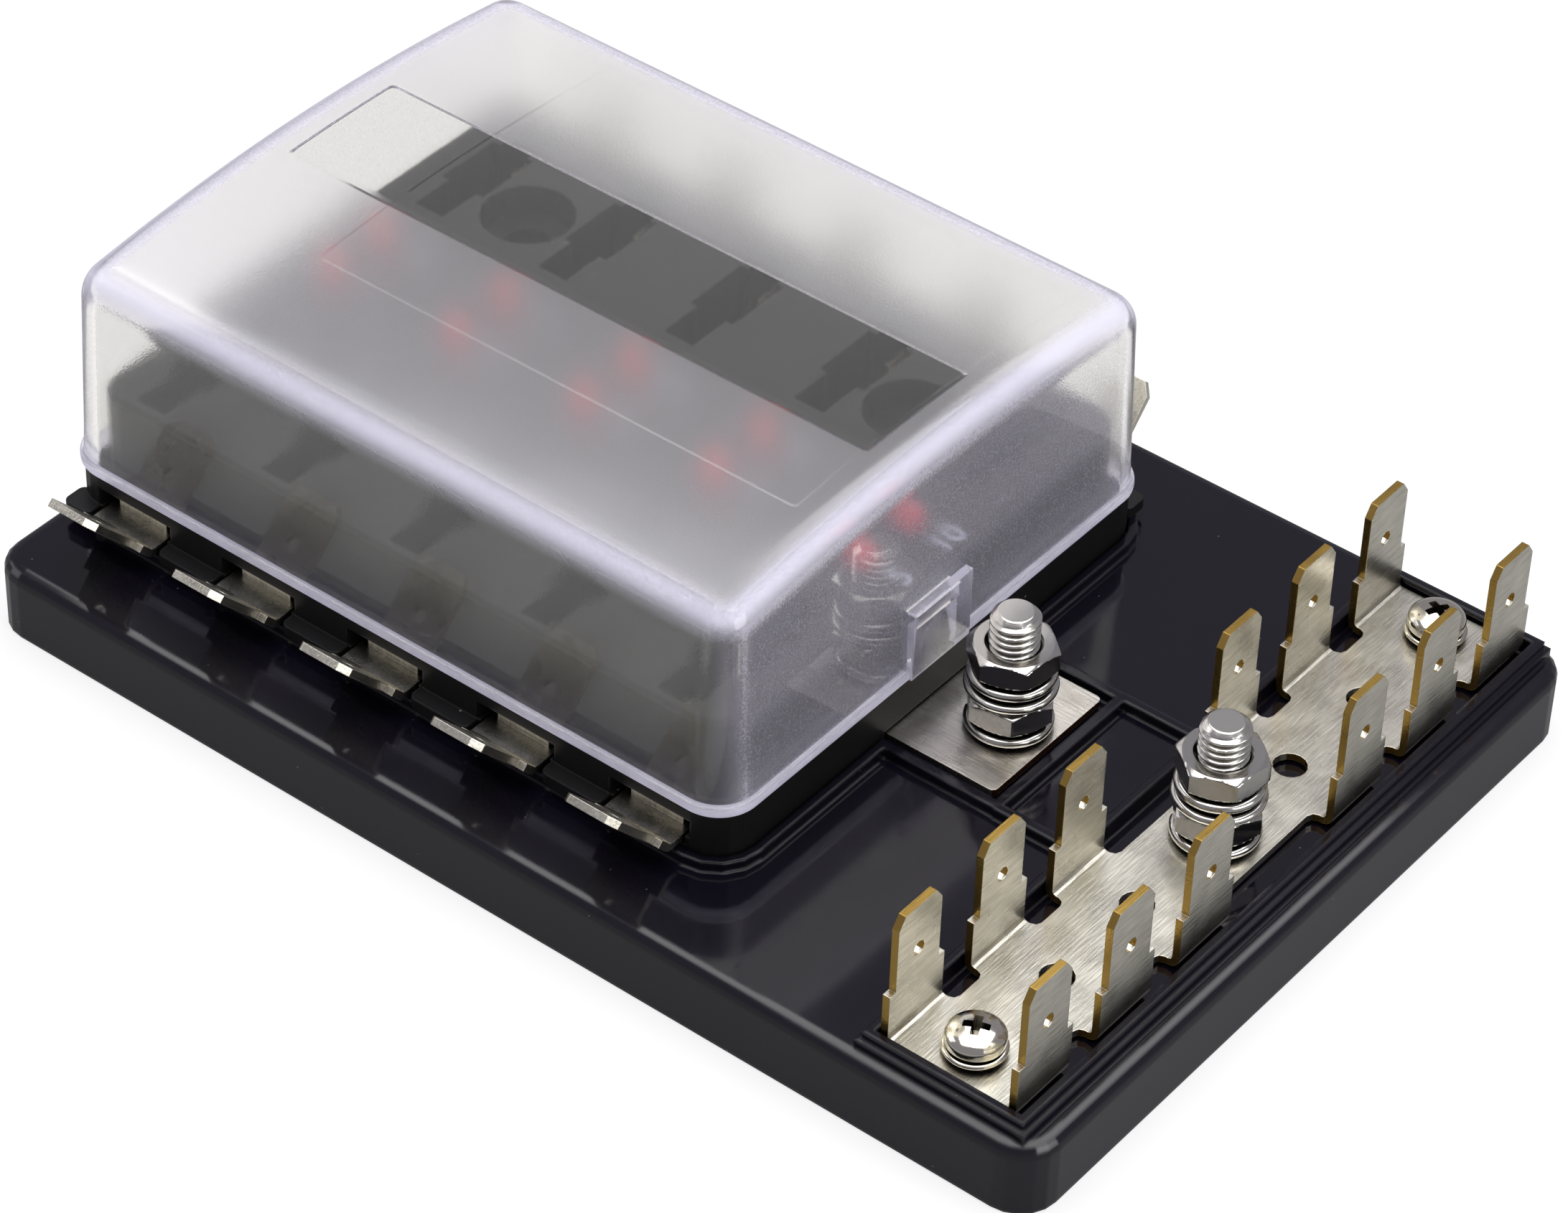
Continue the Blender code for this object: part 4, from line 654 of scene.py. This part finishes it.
# %% Screws
HEAD_SIDES = 64
HEAD_STEPS = 14
HEAD_EDGE_SHARE = 0.32
HEAD_FOOT_SHARE = 0.98
HEAD_ABOVE_WASHER = 0.3 * MM
SHANK_RADIUS = 1.45 * MM
SHANK_POINT = 0.5 * MM
CROSS_SPAN = 3.6 * MM
CROSS_WIDTH = 1.15 * MM
CROSS_DEPTH = 1.6 * MM
CROSS_TAPER = 0.45
SCREW_WASHER_BORE = 1.8 * MM
SCREW_WASHER_RISE = 0.2 * MM
SCREW_WASHER_GAP = math.radians(60)


def head_mesh(name, x, y, low, high, shank_low, radius):
    """A shank, a short upright edge and a quarter ellipse up to the middle of the head."""
    edge = low + HEAD_EDGE_SHARE * (high - low)
    turn = np.linspace(0, math.pi / 2, HEAD_STEPS)[:-1]
    sizes = np.concatenate([[SHANK_RADIUS / 2, SHANK_RADIUS, SHANK_RADIUS,
                             radius * HEAD_FOOT_SHARE], radius * np.cos(turn)])
    levels = np.concatenate([[shank_low, shank_low + SHANK_POINT, low, low],
                             edge + (high - edge) * np.sin(turn)])
    mesh = closed_surface(name, round_axis(x, y, sizes[:, None], full_turn(HEAD_SIDES),
                                           levels[:, None]))
    face_out(mesh)
    return mesh


def solid(name, shape, look):
    """Turns a bmesh into an object of one material, to add to a piece or to cut it with."""
    mesh = bpy.data.meshes.new(name)
    shape.to_mesh(mesh)
    shape.free()
    mesh.materials.append(look)
    return in_scene(name, mesh)


def cross_wedge(x, y, top, turn, look):
    """A wedge that narrows downwards, turned about the screw's axis."""
    shape = bmesh.new()
    bmesh.ops.create_cube(shape, size=1.0)
    for vert in shape.verts:
        narrow = CROSS_TAPER if vert.co.z < 0 else 1.0
        vert.co = Vector((vert.co.x * CROSS_SPAN * narrow, vert.co.y * CROSS_WIDTH * narrow,
                          vert.co.z * 2 * CROSS_DEPTH))
    shape.transform(Matrix.Translation((x, y, top)) @ Matrix.Rotation(turn, 4, "Z"))
    return solid("cross_wedge", shape, look)


def carve(target, tool, operation):
    """Applies one exact Boolean and removes the tool."""
    modifier = target.modifiers.new(operation.lower(), "BOOLEAN")
    modifier.operation = operation
    modifier.solver = "EXACT"
    modifier.material_mode = "TRANSFER"
    modifier.object = tool
    seen = target.evaluated_get(bpy.context.evaluated_depsgraph_get())
    mesh = bpy.data.meshes.new_from_object(seen)
    target.modifiers.clear()
    target.data = mesh
    bpy.data.objects.remove(tool)


for number, degrees in ((1, 25), (2, 62)):
    low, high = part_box(f"ground_screw_{number}")
    ring_low, ring_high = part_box(f"ground_screw_washer_{number}")
    middle = ((low.x + high.x) / 2, (low.y + high.y) / 2)
    mesh = head_mesh("pan_head", *middle, ring_high.z + HEAD_ABOVE_WASHER, high.z, low.z,
                     (high.x - low.x) / 2)
    mesh.materials.append(NICKEL)
    blank = in_scene("pan_head", mesh)
    for quarter in (0, 90):
        carve(blank, cross_wedge(*middle, high.z, math.radians(degrees + quarter), NICKEL),
              "DIFFERENCE")
    head = blank.data
    bpy.data.objects.remove(blank)
    screw = put_piece(f"ground_screw_{number}_pan", head, [NICKEL], "block", 30)
    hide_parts(f"ground_screw_{number}")
    mesh = ring_mesh(f"ground_screw_washer_{number}_rounded", *middle, ring_low.z, ring_high.z,
                     SCREW_WASHER_BORE, (ring_high.x - ring_low.x) / 2, SCREW_WASHER_RISE,
                     SCREW_WASHER_GAP)
    washer = put_piece(f"ground_screw_washer_{number}_rounded", mesh, [NICKEL], "block")
    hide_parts(f"ground_screw_washer_{number}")
print("pan head screws:", 2)

# %% [markdown]
# ## The cover's plastic
#
# The cover is clear polycarbonate. Its outside is polished, so it mirrors the stud and the tabs
# in front of it; only its top is a little less polished outside the strip. Its inside is etched
# to a frost everywhere except for the strip. Light that passes the frost is bent a little in all
# directions, so the indicators behind it blur. A small milky share scatters light as well, most
# of it on both skins of the rounded shoulder. We keep the two skins as two materials on one
# shell, and let shadow rays through, because clear plastic throws hardly any shadow.

# %% Clear and frosted polycarbonate
CLEAR_IOR = 1.585
CLEAR_TINT = "#fffefa"
RIM_TINT = "#f6f5fb"
MILK_COLOUR = "#eceaf8"
FORWARD_SHARE = 0.4
POLISHED_SHADOW = "#e9e8f0"
FROSTED_SHADOW = "#e4e3ec"
STRIP_LOW = (-57.9 * MM, -6.1 * MM)
STRIP_HIGH = (14.5 * MM, 9.6 * MM)
STRIP_SLOPE = 0.35 * MM
STRIP_CORNER = 1.0 * MM
TOP_ABOVE = 32.5 * MM
PLATEAU_LOW = (-44.0 * MM, -17.0 * MM)
PLATEAU_HIGH = (14.6 * MM, 30.0 * MM)
PLATEAU_SLOPE = 0.3 * MM
PLATEAU_HEIGHT = 0.04 * MM
FLOW_WAVE = 6 * MM
FLOW_DEPTH = 0.2 * MM
POLISHED_ROUGHNESS = 0.045
SATIN_ROUGHNESS = 0.16
SATIN_FROM = 0.8
STRIP_INSIDE_ROUGHNESS = 0.05
FROST_ROUGHNESS = (0.19, 0.29)
FROST_GRAIN = 0.20 * MM
FROST_BUMP = 0.25
FROST_DEPTH = 0.06 * MM
SPECKLE = (0.6, 1.4)
SPECKLE_FROM = (0.25, 0.75)
LEDGE_DEPTH = 0.12 * MM
WALL_MILK = 0.012
END_MILK = 0.22
TOP_MILK = 0.07
BROW_MILK = 0.60
OUTER_BROW_MILK = 0.45


def see_through_shadow(tree, shader, tint, milk):
    """Adds a milky share that scatters light, and lets shadow rays pass the plastic."""
    white = linear(MILK_COLOUR)
    near = add(tree, "ShaderNodeBsdfDiffuse", {"Color": white})
    through = add(tree, "ShaderNodeBsdfTranslucent", {"Color": white})
    haze = add(tree, "ShaderNodeMixShader", {0: FORWARD_SHARE, 1: near.outputs["BSDF"],
                                             2: through.outputs["BSDF"]})
    plastic = add(tree, "ShaderNodeMixShader", {0: milk, 1: shader.outputs["BSDF"],
                                                2: haze.outputs["Shader"]})
    path = add(tree, "ShaderNodeLightPath")
    clear = add(tree, "ShaderNodeBsdfTransparent", {"Color": linear(tint)})
    mix = add(tree, "ShaderNodeMixShader", {0: path.outputs["Is Shadow Ray"],
                                            1: plastic.outputs["Shader"],
                                            2: clear.outputs["BSDF"]})
    tree.links.new(mix.outputs["Shader"], tree.nodes["Material Output"].inputs["Surface"])


def panel(tree, place, low, high, slope):
    """1 inside a rounded rectangle of the top, 0 outside it, with a slope of the given width."""
    axes = add(tree, "ShaderNodeSeparateXYZ", {"Vector": place}).outputs
    inside = None
    for axis in (0, 1):
        for bound, sign in ((low[axis], 1.0), (high[axis], -1.0)):
            reach = calc(tree, "MULTIPLY_ADD", axes[axis], sign, -sign * bound)
            inside = reach if inside is None else calc(tree, "SMOOTH_MIN", inside, reach,
                                                       STRIP_CORNER)
    on_top = calc(tree, "GREATER_THAN", axes["Z"], TOP_ABOVE)
    return calc(tree, "MULTIPLY", remap(tree, inside, 0.0, 1.0, 0.0, slope), on_top)


def brow_top_end(tree):
    """Masks of the rounded shoulder, of the top and of the two ends, from the normal's axes.

    The squares of the axes are 1 on the top and on the ends; 4 * z^2 * (1 - z^2) is 1 halfway
    between top and wall.
    """
    normal = add(tree, "ShaderNodeTexCoord").outputs["Normal"]
    axes = add(tree, "ShaderNodeSeparateXYZ", {"Vector": normal}).outputs
    top, end = [calc(tree, "MULTIPLY", axes[name], axes[name]) for name in ("Z", "X")]
    product = calc(tree, "MULTIPLY", top, calc(tree, "SUBTRACT", 1.0, top))
    return calc(tree, "MULTIPLY", product, 4.0), top, end


def clear_plastic(name, **sockets):
    """A see-through material; returns it, its tree, its shader and the place on the object."""
    made, tree, shader = new_material(name, IOR=CLEAR_IOR, Transmission_Weight=1.0, **sockets)
    return made, tree, shader, object_place(tree)


def polished_skin():
    """The outside: mirror-like, with a low plateau on the top and a milky shoulder."""
    made, tree, shader, place = clear_plastic("polycarbonate_polished",
                                              Base_Color=linear(CLEAR_TINT))
    strip = panel(tree, place, STRIP_LOW, STRIP_HIGH, STRIP_SLOPE)
    shoulder, top, _ = brow_top_end(tree)
    satin = remap(tree, top, POLISHED_ROUGHNESS, SATIN_ROUGHNESS, SATIN_FROM)
    wave = bump(tree, noise(tree, place, FLOW_WAVE), 0.05, FLOW_DEPTH)
    plateau = panel(tree, place, PLATEAU_LOW, PLATEAU_HIGH, PLATEAU_SLOPE)
    fill(tree, shader, {"Roughness": between(tree, strip, satin, POLISHED_ROUGHNESS),
                        "Normal": bump(tree, plateau, 0.5, PLATEAU_HEIGHT, wave)})
    milk = between(tree, strip, calc(tree, "MULTIPLY", shoulder, OUTER_BROW_MILK), 0.0)
    see_through_shadow(tree, shader, POLISHED_SHADOW, milk)
    return made


def frosted_skin():
    """The inside: a fine frost that grows milky at the ends, the top and the shoulder."""
    made, tree, shader, place = clear_plastic("polycarbonate_etched_inside",
                                              Base_Color=linear(CLEAR_TINT),
                                              Specular_IOR_Level=0.0)
    strip = panel(tree, place, STRIP_LOW, STRIP_HIGH, STRIP_SLOPE)
    shoulder, top, end = brow_top_end(tree)
    rough = remap(tree, top, *FROST_ROUGHNESS)
    grain = noise(tree, place, FROST_GRAIN, 1.0)
    frost = bump(tree, grain, remap(tree, strip, FROST_BUMP, 0.0), FROST_DEPTH)
    fill(tree, shader, {"Roughness": between(tree, strip, rough, STRIP_INSIDE_ROUGHNESS),
                        "Normal": bump(tree, strip, 1.0, LEDGE_DEPTH, frost)})
    flat = between(tree, top, remap(tree, end, WALL_MILK, END_MILK), TOP_MILK)
    milk = calc(tree, "MULTIPLY_ADD", shoulder, BROW_MILK, flat)
    milk = calc(tree, "MULTIPLY", milk, remap(tree, grain, *SPECKLE, *SPECKLE_FROM))
    see_through_shadow(tree, shader, FROSTED_SHADOW, between(tree, strip, milk, 0.0))
    return made


def cloudy_plastic(name, roughness, size, milk_range, shadow):
    """Clear plastic with a milky share that drifts within a range, in patches of a size."""
    made, tree, shader, place = clear_plastic(name, Base_Color=linear(RIM_TINT),
                                              Roughness=roughness)
    milk = remap(tree, noise(tree, place, size), *milk_range)
    see_through_shadow(tree, shader, shadow, milk)
    return made


POLISHED = polished_skin()
FROSTED = frosted_skin()
CLEAR = cloudy_plastic("polycarbonate_clear_latch", 0.1, 1.2 * MM, (0.16, 0.36),
                       POLISHED_SHADOW)
WHITE_RIM = cloudy_plastic("polycarbonate_edge_lit_rim", 0.12, 3 * MM, (0.35, 0.75),
                           FROSTED_SHADOW)

# %% [markdown]
# ## The cover's shell
#
# Seen along its edge the cover is one curve: a small bead at the rim, a wall that leans in a
# little, a quarter round over the shoulder, and then the flat of the top. That curve is carried
# round a rounded rectangle, and the whole top is lifted by a parabola across the width. The inner
# skin is the same surface moved in by the wall's thickness.

# %% Shell
COVER_LOW, COVER_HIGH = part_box("clear_cover")
HOUSING_LOW, HOUSING_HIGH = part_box("fuse_housing")
BEAD_OUT = 0.4 * MM
BEAD_HEIGHT = 1.4 * MM
WHITE_ROWS = 5
COVER_WALL = 1.7 * MM
COVER_CORNER = 4.2 * MM
COVER_HALF_X = (HOUSING_HIGH.x - HOUSING_LOW.x) / 2
COVER_HALF_Y = COVER_HIGH.y - BEAD_OUT
COVER_MIDDLE_X = (HOUSING_HIGH.x + HOUSING_LOW.x) / 2
COVER_RIM = COVER_LOW.z
COVER_ARCH = 2.5 * MM
COVER_RISE = COVER_HIGH.z - COVER_ARCH - COVER_RIM
SHOULDER = 3.4 * MM
DRAFT = math.tan(math.radians(2.2))
LEAST_CORNER = 0.9 * MM
ARC_STEPS = 15
BEAD_STEPS = 9
WALL_STEPS = 8
SIDE_STEPS = 25
TOP_STEPS = 24


def cover_profile(wall):
    """Inset and height along the section, for a skin moved in by wall; the bead is outside."""
    straight_top = COVER_RIM + COVER_RISE - SHOULDER
    turn = np.linspace(0, math.pi / 2, ARC_STEPS)[1:]
    if wall == 0:
        bead = np.linspace(0, math.pi, BEAD_STEPS)
        inset = [-BEAD_OUT * np.sqrt(np.sin(bead))]
        height = [COVER_RIM + BEAD_HEIGHT * (1 - np.cos(bead)) / 2]
        wall_start = COVER_RIM + BEAD_HEIGHT
    else:
        inset = []
        height = []
        wall_start = COVER_RIM
    level = np.linspace(wall_start, straight_top, WALL_STEPS)
    if wall == 0:
        level = level[1:]
    lean = DRAFT * (straight_top - COVER_RIM)
    inset += [DRAFT * (level - COVER_RIM) + wall,
              lean + SHOULDER - (SHOULDER - wall) * np.cos(turn)]
    height += [level, straight_top + (SHOULDER - wall) * np.sin(turn)]
    return np.concatenate(inset), np.concatenate(height)


def rounded_rectangle(inset):
    """Points round a rounded rectangle, as offsets from its centre, for each inset."""
    corner = np.linspace(0, math.pi / 2, ARC_STEPS)
    side = np.linspace(0, 1, SIDE_STEPS)[1:-1]
    radius = np.clip(COVER_CORNER - inset, LEAST_CORNER, None)[:, None]
    half_x = (COVER_HALF_X - inset)[:, None] - radius
    half_y = (COVER_HALF_Y - inset)[:, None] - radius
    xs, ys = [], []
    for sign_x, sign_y, first in ((1, 1, 0), (-1, 1, 1), (-1, -1, 2), (1, -1, 3)):
        angle = corner + first * math.pi / 2
        xs.append(sign_x * half_x + radius * np.cos(angle))
        ys.append(sign_y * half_y + radius * np.sin(angle))
        end_x, end_y = xs[-1][:, -1:], ys[-1][:, -1:]
        goal = {0: (-half_x, half_y + radius), 1: (-half_x - radius, -half_y),
                2: (half_x, -half_y - radius), 3: (half_x + radius, half_y)}[first]
        xs.append(end_x + (goal[0] - end_x) * side)
        ys.append(end_y + (goal[1] - end_y) * side)
    return np.concatenate(xs, axis=1), np.concatenate(ys, axis=1)


def arch(y, height):
    """Lift of the skin: a parabola across the width that grows with height up the wall."""
    share = np.clip((height - COVER_RIM) / COVER_RISE, 0, 1)
    return COVER_ARCH * (1 - (y / COVER_HALF_Y) ** 2) * share


def cover_skin_grid(wall):
    """Rings up the wall and over the shoulder, then shrinking rings that fill the top."""
    inset, height = cover_profile(wall)
    x, y = rounded_rectangle(inset)
    shrink = np.linspace(1, 0, TOP_STEPS)[1:-1][:, None]
    x = np.vstack([x, x[-1] * shrink])
    y = np.vstack([y, y[-1] * shrink])
    level = np.concatenate([height, np.full(len(shrink), height[-1])])[:, None]
    z = level + arch(y, level + wall)
    return np.stack([COVER_MIDDLE_X + x, y, z], axis=-1)


def cover_shell_mesh():
    """Outer skin, inner skin and the flat rim between them, as one closed shell."""
    outer = cover_skin_grid(0)
    inner = cover_skin_grid(COVER_WALL)
    columns = outer.shape[1]
    count_outer = outer.shape[0] * columns
    points = [outer.reshape(-1, 3), inner.reshape(-1, 3)]
    faces = [grid_faces(outer.shape[0], columns),
             grid_faces(inner.shape[0], columns)[:, ::-1] + count_outer]
    ring = np.arange(columns)
    after = (ring + 1) % columns
    faces.append(np.stack([after, ring, count_outer + ring, count_outer + after], axis=-1))
    poles = np.array([outer[-1].mean(axis=0), inner[-1].mean(axis=0)])
    start = sum(len(part) for part in points)
    outer_last = count_outer - columns
    inner_last = start - columns
    fans = np.stack([outer_last + ring, outer_last + after, np.full(columns, start)],
                    axis=-1).tolist()
    fans += np.stack([inner_last + after, inner_last + ring, np.full(columns, start + 1)],
                     axis=-1).tolist()
    quads = np.vstack(faces).tolist()
    mesh = mesh_from("cover_shell", np.vstack(points + [poles]), quads + fans)
    bead = WHITE_ROWS * columns
    skin = np.array([2] * bead + [0] * (len(faces[0]) - bead) + [1] * len(faces[1])
                    + [2] * columns + [0] * columns + [1] * columns, dtype=np.int32)
    for look in (POLISHED, FROSTED, WHITE_RIM):
        mesh.materials.append(look)
    mesh.polygons.foreach_set("material_index", skin)
    return mesh


shell_mesh = cover_shell_mesh()
print("cover shell faces:", len(shell_mesh.polygons))

# %% [markdown]
# ## The latch
#
# On the end by the stud the cover has a raised latch frame with a slot, and a channel inside that
# the housing's catch slides in. A Boolean joins the frame to the shell and cuts the channel and
# slot, which is how a mould maker would think of it: first add plastic, then take it away.

# %% Latch
LATCH_MIDDLE_Y = -1.3 * MM
LATCH_WIDTH = 9.2 * MM
LATCH_TOP = 22.3 * MM
CATCH_MIDDLE_Y = -2.1 * MM
CATCH_WIDTH = 6.2 * MM
CATCH_TOP = 21.5 * MM
SLOT_HEIGHT = 1.2 * MM
PLAY = 0.3 * MM
CHANNEL_START = COVER_MIDDLE_X + 39.4 * MM
CHANNEL_DEPTH = 1.9 * MM
CHANNEL_BELOW_RIM = 2 * MM
FRAME_EASE = 0.15 * MM
FRAME_ABOVE_RIM = 0.01 * MM


def box_object(name, low, high, look, ease=0.0):
    """A box between two corners, with its edges eased if asked."""
    shape = bmesh.new()
    bmesh.ops.create_cube(shape, size=1.0)
    low, high = Vector(low), Vector(high)
    bmesh.ops.scale(shape, vec=high - low, verts=shape.verts)
    bmesh.ops.translate(shape, vec=(low + high) / 2, verts=shape.verts)
    if ease:
        bmesh.ops.bevel(shape, geom=shape.edges, offset=ease, segments=2, profile=0.5,
                        affect="EDGES")
    return solid(name, shape, look)


shell = in_scene("frosted_cover", shell_mesh)
half_frame = LATCH_WIDTH / 2
half_catch = CATCH_WIDTH / 2 + PLAY
catch_low = CATCH_MIDDLE_Y - half_catch
catch_high = CATCH_MIDDLE_Y + half_catch
frame_box = box_object("latch_frame",
                       (COVER_MIDDLE_X + COVER_HALF_X - COVER_WALL, LATCH_MIDDLE_Y - half_frame,
                        COVER_RIM + FRAME_ABOVE_RIM),
                       (COVER_HIGH.x, LATCH_MIDDLE_Y + half_frame, LATCH_TOP), CLEAR, FRAME_EASE)
channel = box_object("latch_channel", (CHANNEL_START, catch_low, COVER_RIM - CHANNEL_BELOW_RIM),
                     (CHANNEL_START + CHANNEL_DEPTH, catch_high, CATCH_TOP + PLAY), POLISHED)
slot = box_object("latch_slot", (CHANNEL_START, catch_low, CATCH_TOP - SLOT_HEIGHT),
                  (COVER_HIGH.x + MM, catch_high, CATCH_TOP + PLAY), POLISHED)
carve(shell, frame_box, "UNION")
carve(shell, channel, "DIFFERENCE")
carve(shell, slot, "DIFFERENCE")
cover_mesh = shell.data
bpy.data.objects.remove(shell)
cover = put_piece("frosted_cover", cover_mesh, [POLISHED, FROSTED, WHITE_RIM, CLEAR], "cover",
                  35)
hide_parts("clear_cover")
print("cover faces:", len(cover_mesh.polygons))

# %% [markdown]
# ## Numbers on the housing
#
# Each lamp has its number printed beside it in white, so that a fitter can tell the circuits
# apart. They are plain digits, read from the stud's end. Text is turned into a mesh first, and
# only then moved to its place, because its object has to end up at the origin.

# %% Numbers
DIGIT_HEIGHT = 2.8 * MM
CAPITAL_SHARE = 0.72
INK_THICKNESS = 0.03 * MM
DOME_ASIDE = (-1.0 * MM, 3.7 * MM)
NUMBER_FROM_DOME = (4.6 * MM, 0.5 * MM)
WHITE_INK = cloudy("pad_print_white_ink", 0.4 * MM, "#8f93a3", "#b4b8c4", Roughness=0.55)


def number_mesh(text, x, y, z):
    """Digits as a thin raised print, turned to read along +Y and laid flat at a height."""
    curve = bpy.data.curves.new("digits", "FONT")
    curve.body = text
    curve.size = DIGIT_HEIGHT / CAPITAL_SHARE
    curve.align_x = "CENTER"
    curve.align_y = "CENTER"
    curve.extrude = INK_THICKNESS / 2
    made = in_scene("digits", curve)
    seen = made.evaluated_get(bpy.context.evaluated_depsgraph_get())
    mesh = bpy.data.meshes.new_from_object(seen)
    bpy.data.objects.remove(made)
    mesh.transform(Matrix.Translation((x, y, z)) @ Matrix.Rotation(math.pi / 2, 4, "Z"))
    face_out(mesh)
    return mesh


for number in range(1, 11):
    low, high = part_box(f"led_{number:02d}")
    side = 1 if number > 5 else -1
    dome_x = (low.x + high.x) / 2 + side * DOME_ASIDE[0]
    dome_y = side * DOME_ASIDE[1]
    mesh = number_mesh(str(number), dome_x + NUMBER_FROM_DOME[0], dome_y + NUMBER_FROM_DOME[1],
                       HOUSING_HIGH.z + INK_THICKNESS / 2)
    put_piece(f"number_{number:02d}", mesh, [WHITE_INK], "block")
print("numbers:", 10)

# %% [markdown]
# ## Floor and light
#
# The photograph was taken on white, under a large soft light overhead, in a dimmer room. The
# floor is white to the camera and through the plastic, and dimmer in mirrors, but it still takes
# the block's soft shadow. The room is white through the plastic too, and a dim grey elsewhere.
# Three area lamps do the rest: a wide one above, a fill from the right that lights the ends, and
# a weak one from the left. They can't be seen through the plastic, because the frost would
# spread their glare over everything behind it.

# %% Floor
FLOOR_SIZE = 3.0
FLOOR_BELOW = 0.2 * MM
FLOOR_GLOW = 0.75
FLOOR_GLOW_THROUGH = 0.95
FLOOR_GLOW_MIRRORED = 0.9
MIRRORED_FLOOR = 0.28


def white_floor():
    """A floor that glows by a share that depends on how the ray has come to it."""
    made, tree, shader = new_material("studio_floor_white", Roughness=0.9,
                                      Base_Color=linear("#f4f4f4"))
    path = add(tree, "ShaderNodeLightPath").outputs
    shown = calc(tree, "MAXIMUM", path["Is Camera Ray"], path["Is Transmission Ray"])
    share = remap(tree, path["Is Transmission Ray"], FLOOR_GLOW, FLOOR_GLOW_THROUGH)
    mirrored = calc(tree, "MULTIPLY", path["Is Glossy Ray"], FLOOR_GLOW_MIRRORED)
    glowing = calc(tree, "MAXIMUM", calc(tree, "MULTIPLY", shown, share), mirrored)
    glow = add(tree, "ShaderNodeEmission", {"Color": (1, 1, 1, 1),
                                            "Strength": remap(tree, shown, MIRRORED_FLOOR, 1.0)})
    mix = add(tree, "ShaderNodeMixShader", {0: glowing, 1: shader.outputs["BSDF"],
                                            2: glow.outputs["Emission"]})
    tree.links.new(mix.outputs["Shader"], tree.nodes["Material Output"].inputs["Surface"])
    return made


half = FLOOR_SIZE / 2
corners = np.array([(-half, -half, 0), (half, -half, 0), (half, half, 0), (-half, half, 0)])
floor_mesh = mesh_from("studio_floor", corners + [0, 0, -FLOOR_BELOW], np.array([[0, 1, 2, 3]]))
floor_mesh.materials.append(white_floor())
floor = in_scene("studio_floor", floor_mesh)
floor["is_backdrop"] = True

# %% Lamps and world
ROOM_LIGHT = 0.42
MIRRORED_ROOM = 0.40
ROOM_THROUGH = 1.0


def area_lamp(name, place, target, size, power):
    """A soft rectangular light that faces the target and can't be seen through plastic."""
    data = bpy.data.lights.new(name, "AREA")
    data.shape = "RECTANGLE"
    data.size, data.size_y = size
    data.energy = power
    made = in_scene(name, data)
    made.location = place
    made.rotation_euler = (Vector(target) - Vector(place)).to_track_quat("-Z", "Y").to_euler()
    made.visible_transmission = False


area_lamp("overhead_softbox", (-0.03, 0.06, 0.75), (0, 0, 0.01), (0.9, 0.9), 7.6)
area_lamp("right_fill", (0.75, 0.0, 0.32), (0, 0, 0.02), (0.6, 0.4), 3.2)
area_lamp("left_fill", (-0.6, -0.25, 0.35), (0, 0, 0.02), (0.4, 0.4), 0.7)

world = bpy.data.worlds.new("studio_world")
bpy.context.scene.world = world
world.use_nodes = True
sky = world.node_tree
sky_path = add(sky, "ShaderNodeLightPath").outputs
sky_seen = between(sky, sky_path["Is Glossy Ray"], ROOM_LIGHT, MIRRORED_ROOM)
fill(sky, sky.nodes["Background"], {
    "Color": colour_mix(sky, sky_path["Is Transmission Ray"], linear("#dedce8"),
                        linear("#ffffff")),
    "Strength": between(sky, sky_path["Is Transmission Ray"], sky_seen, ROOM_THROUGH)})
bpy.context.scene.view_settings.view_transform = "Standard"
print("lamps: 3")

# %% Write the sizes and finish
low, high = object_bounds()
print("visual size in mm:", [round((b - a) / MM, 2) for a, b in zip(low, high)])
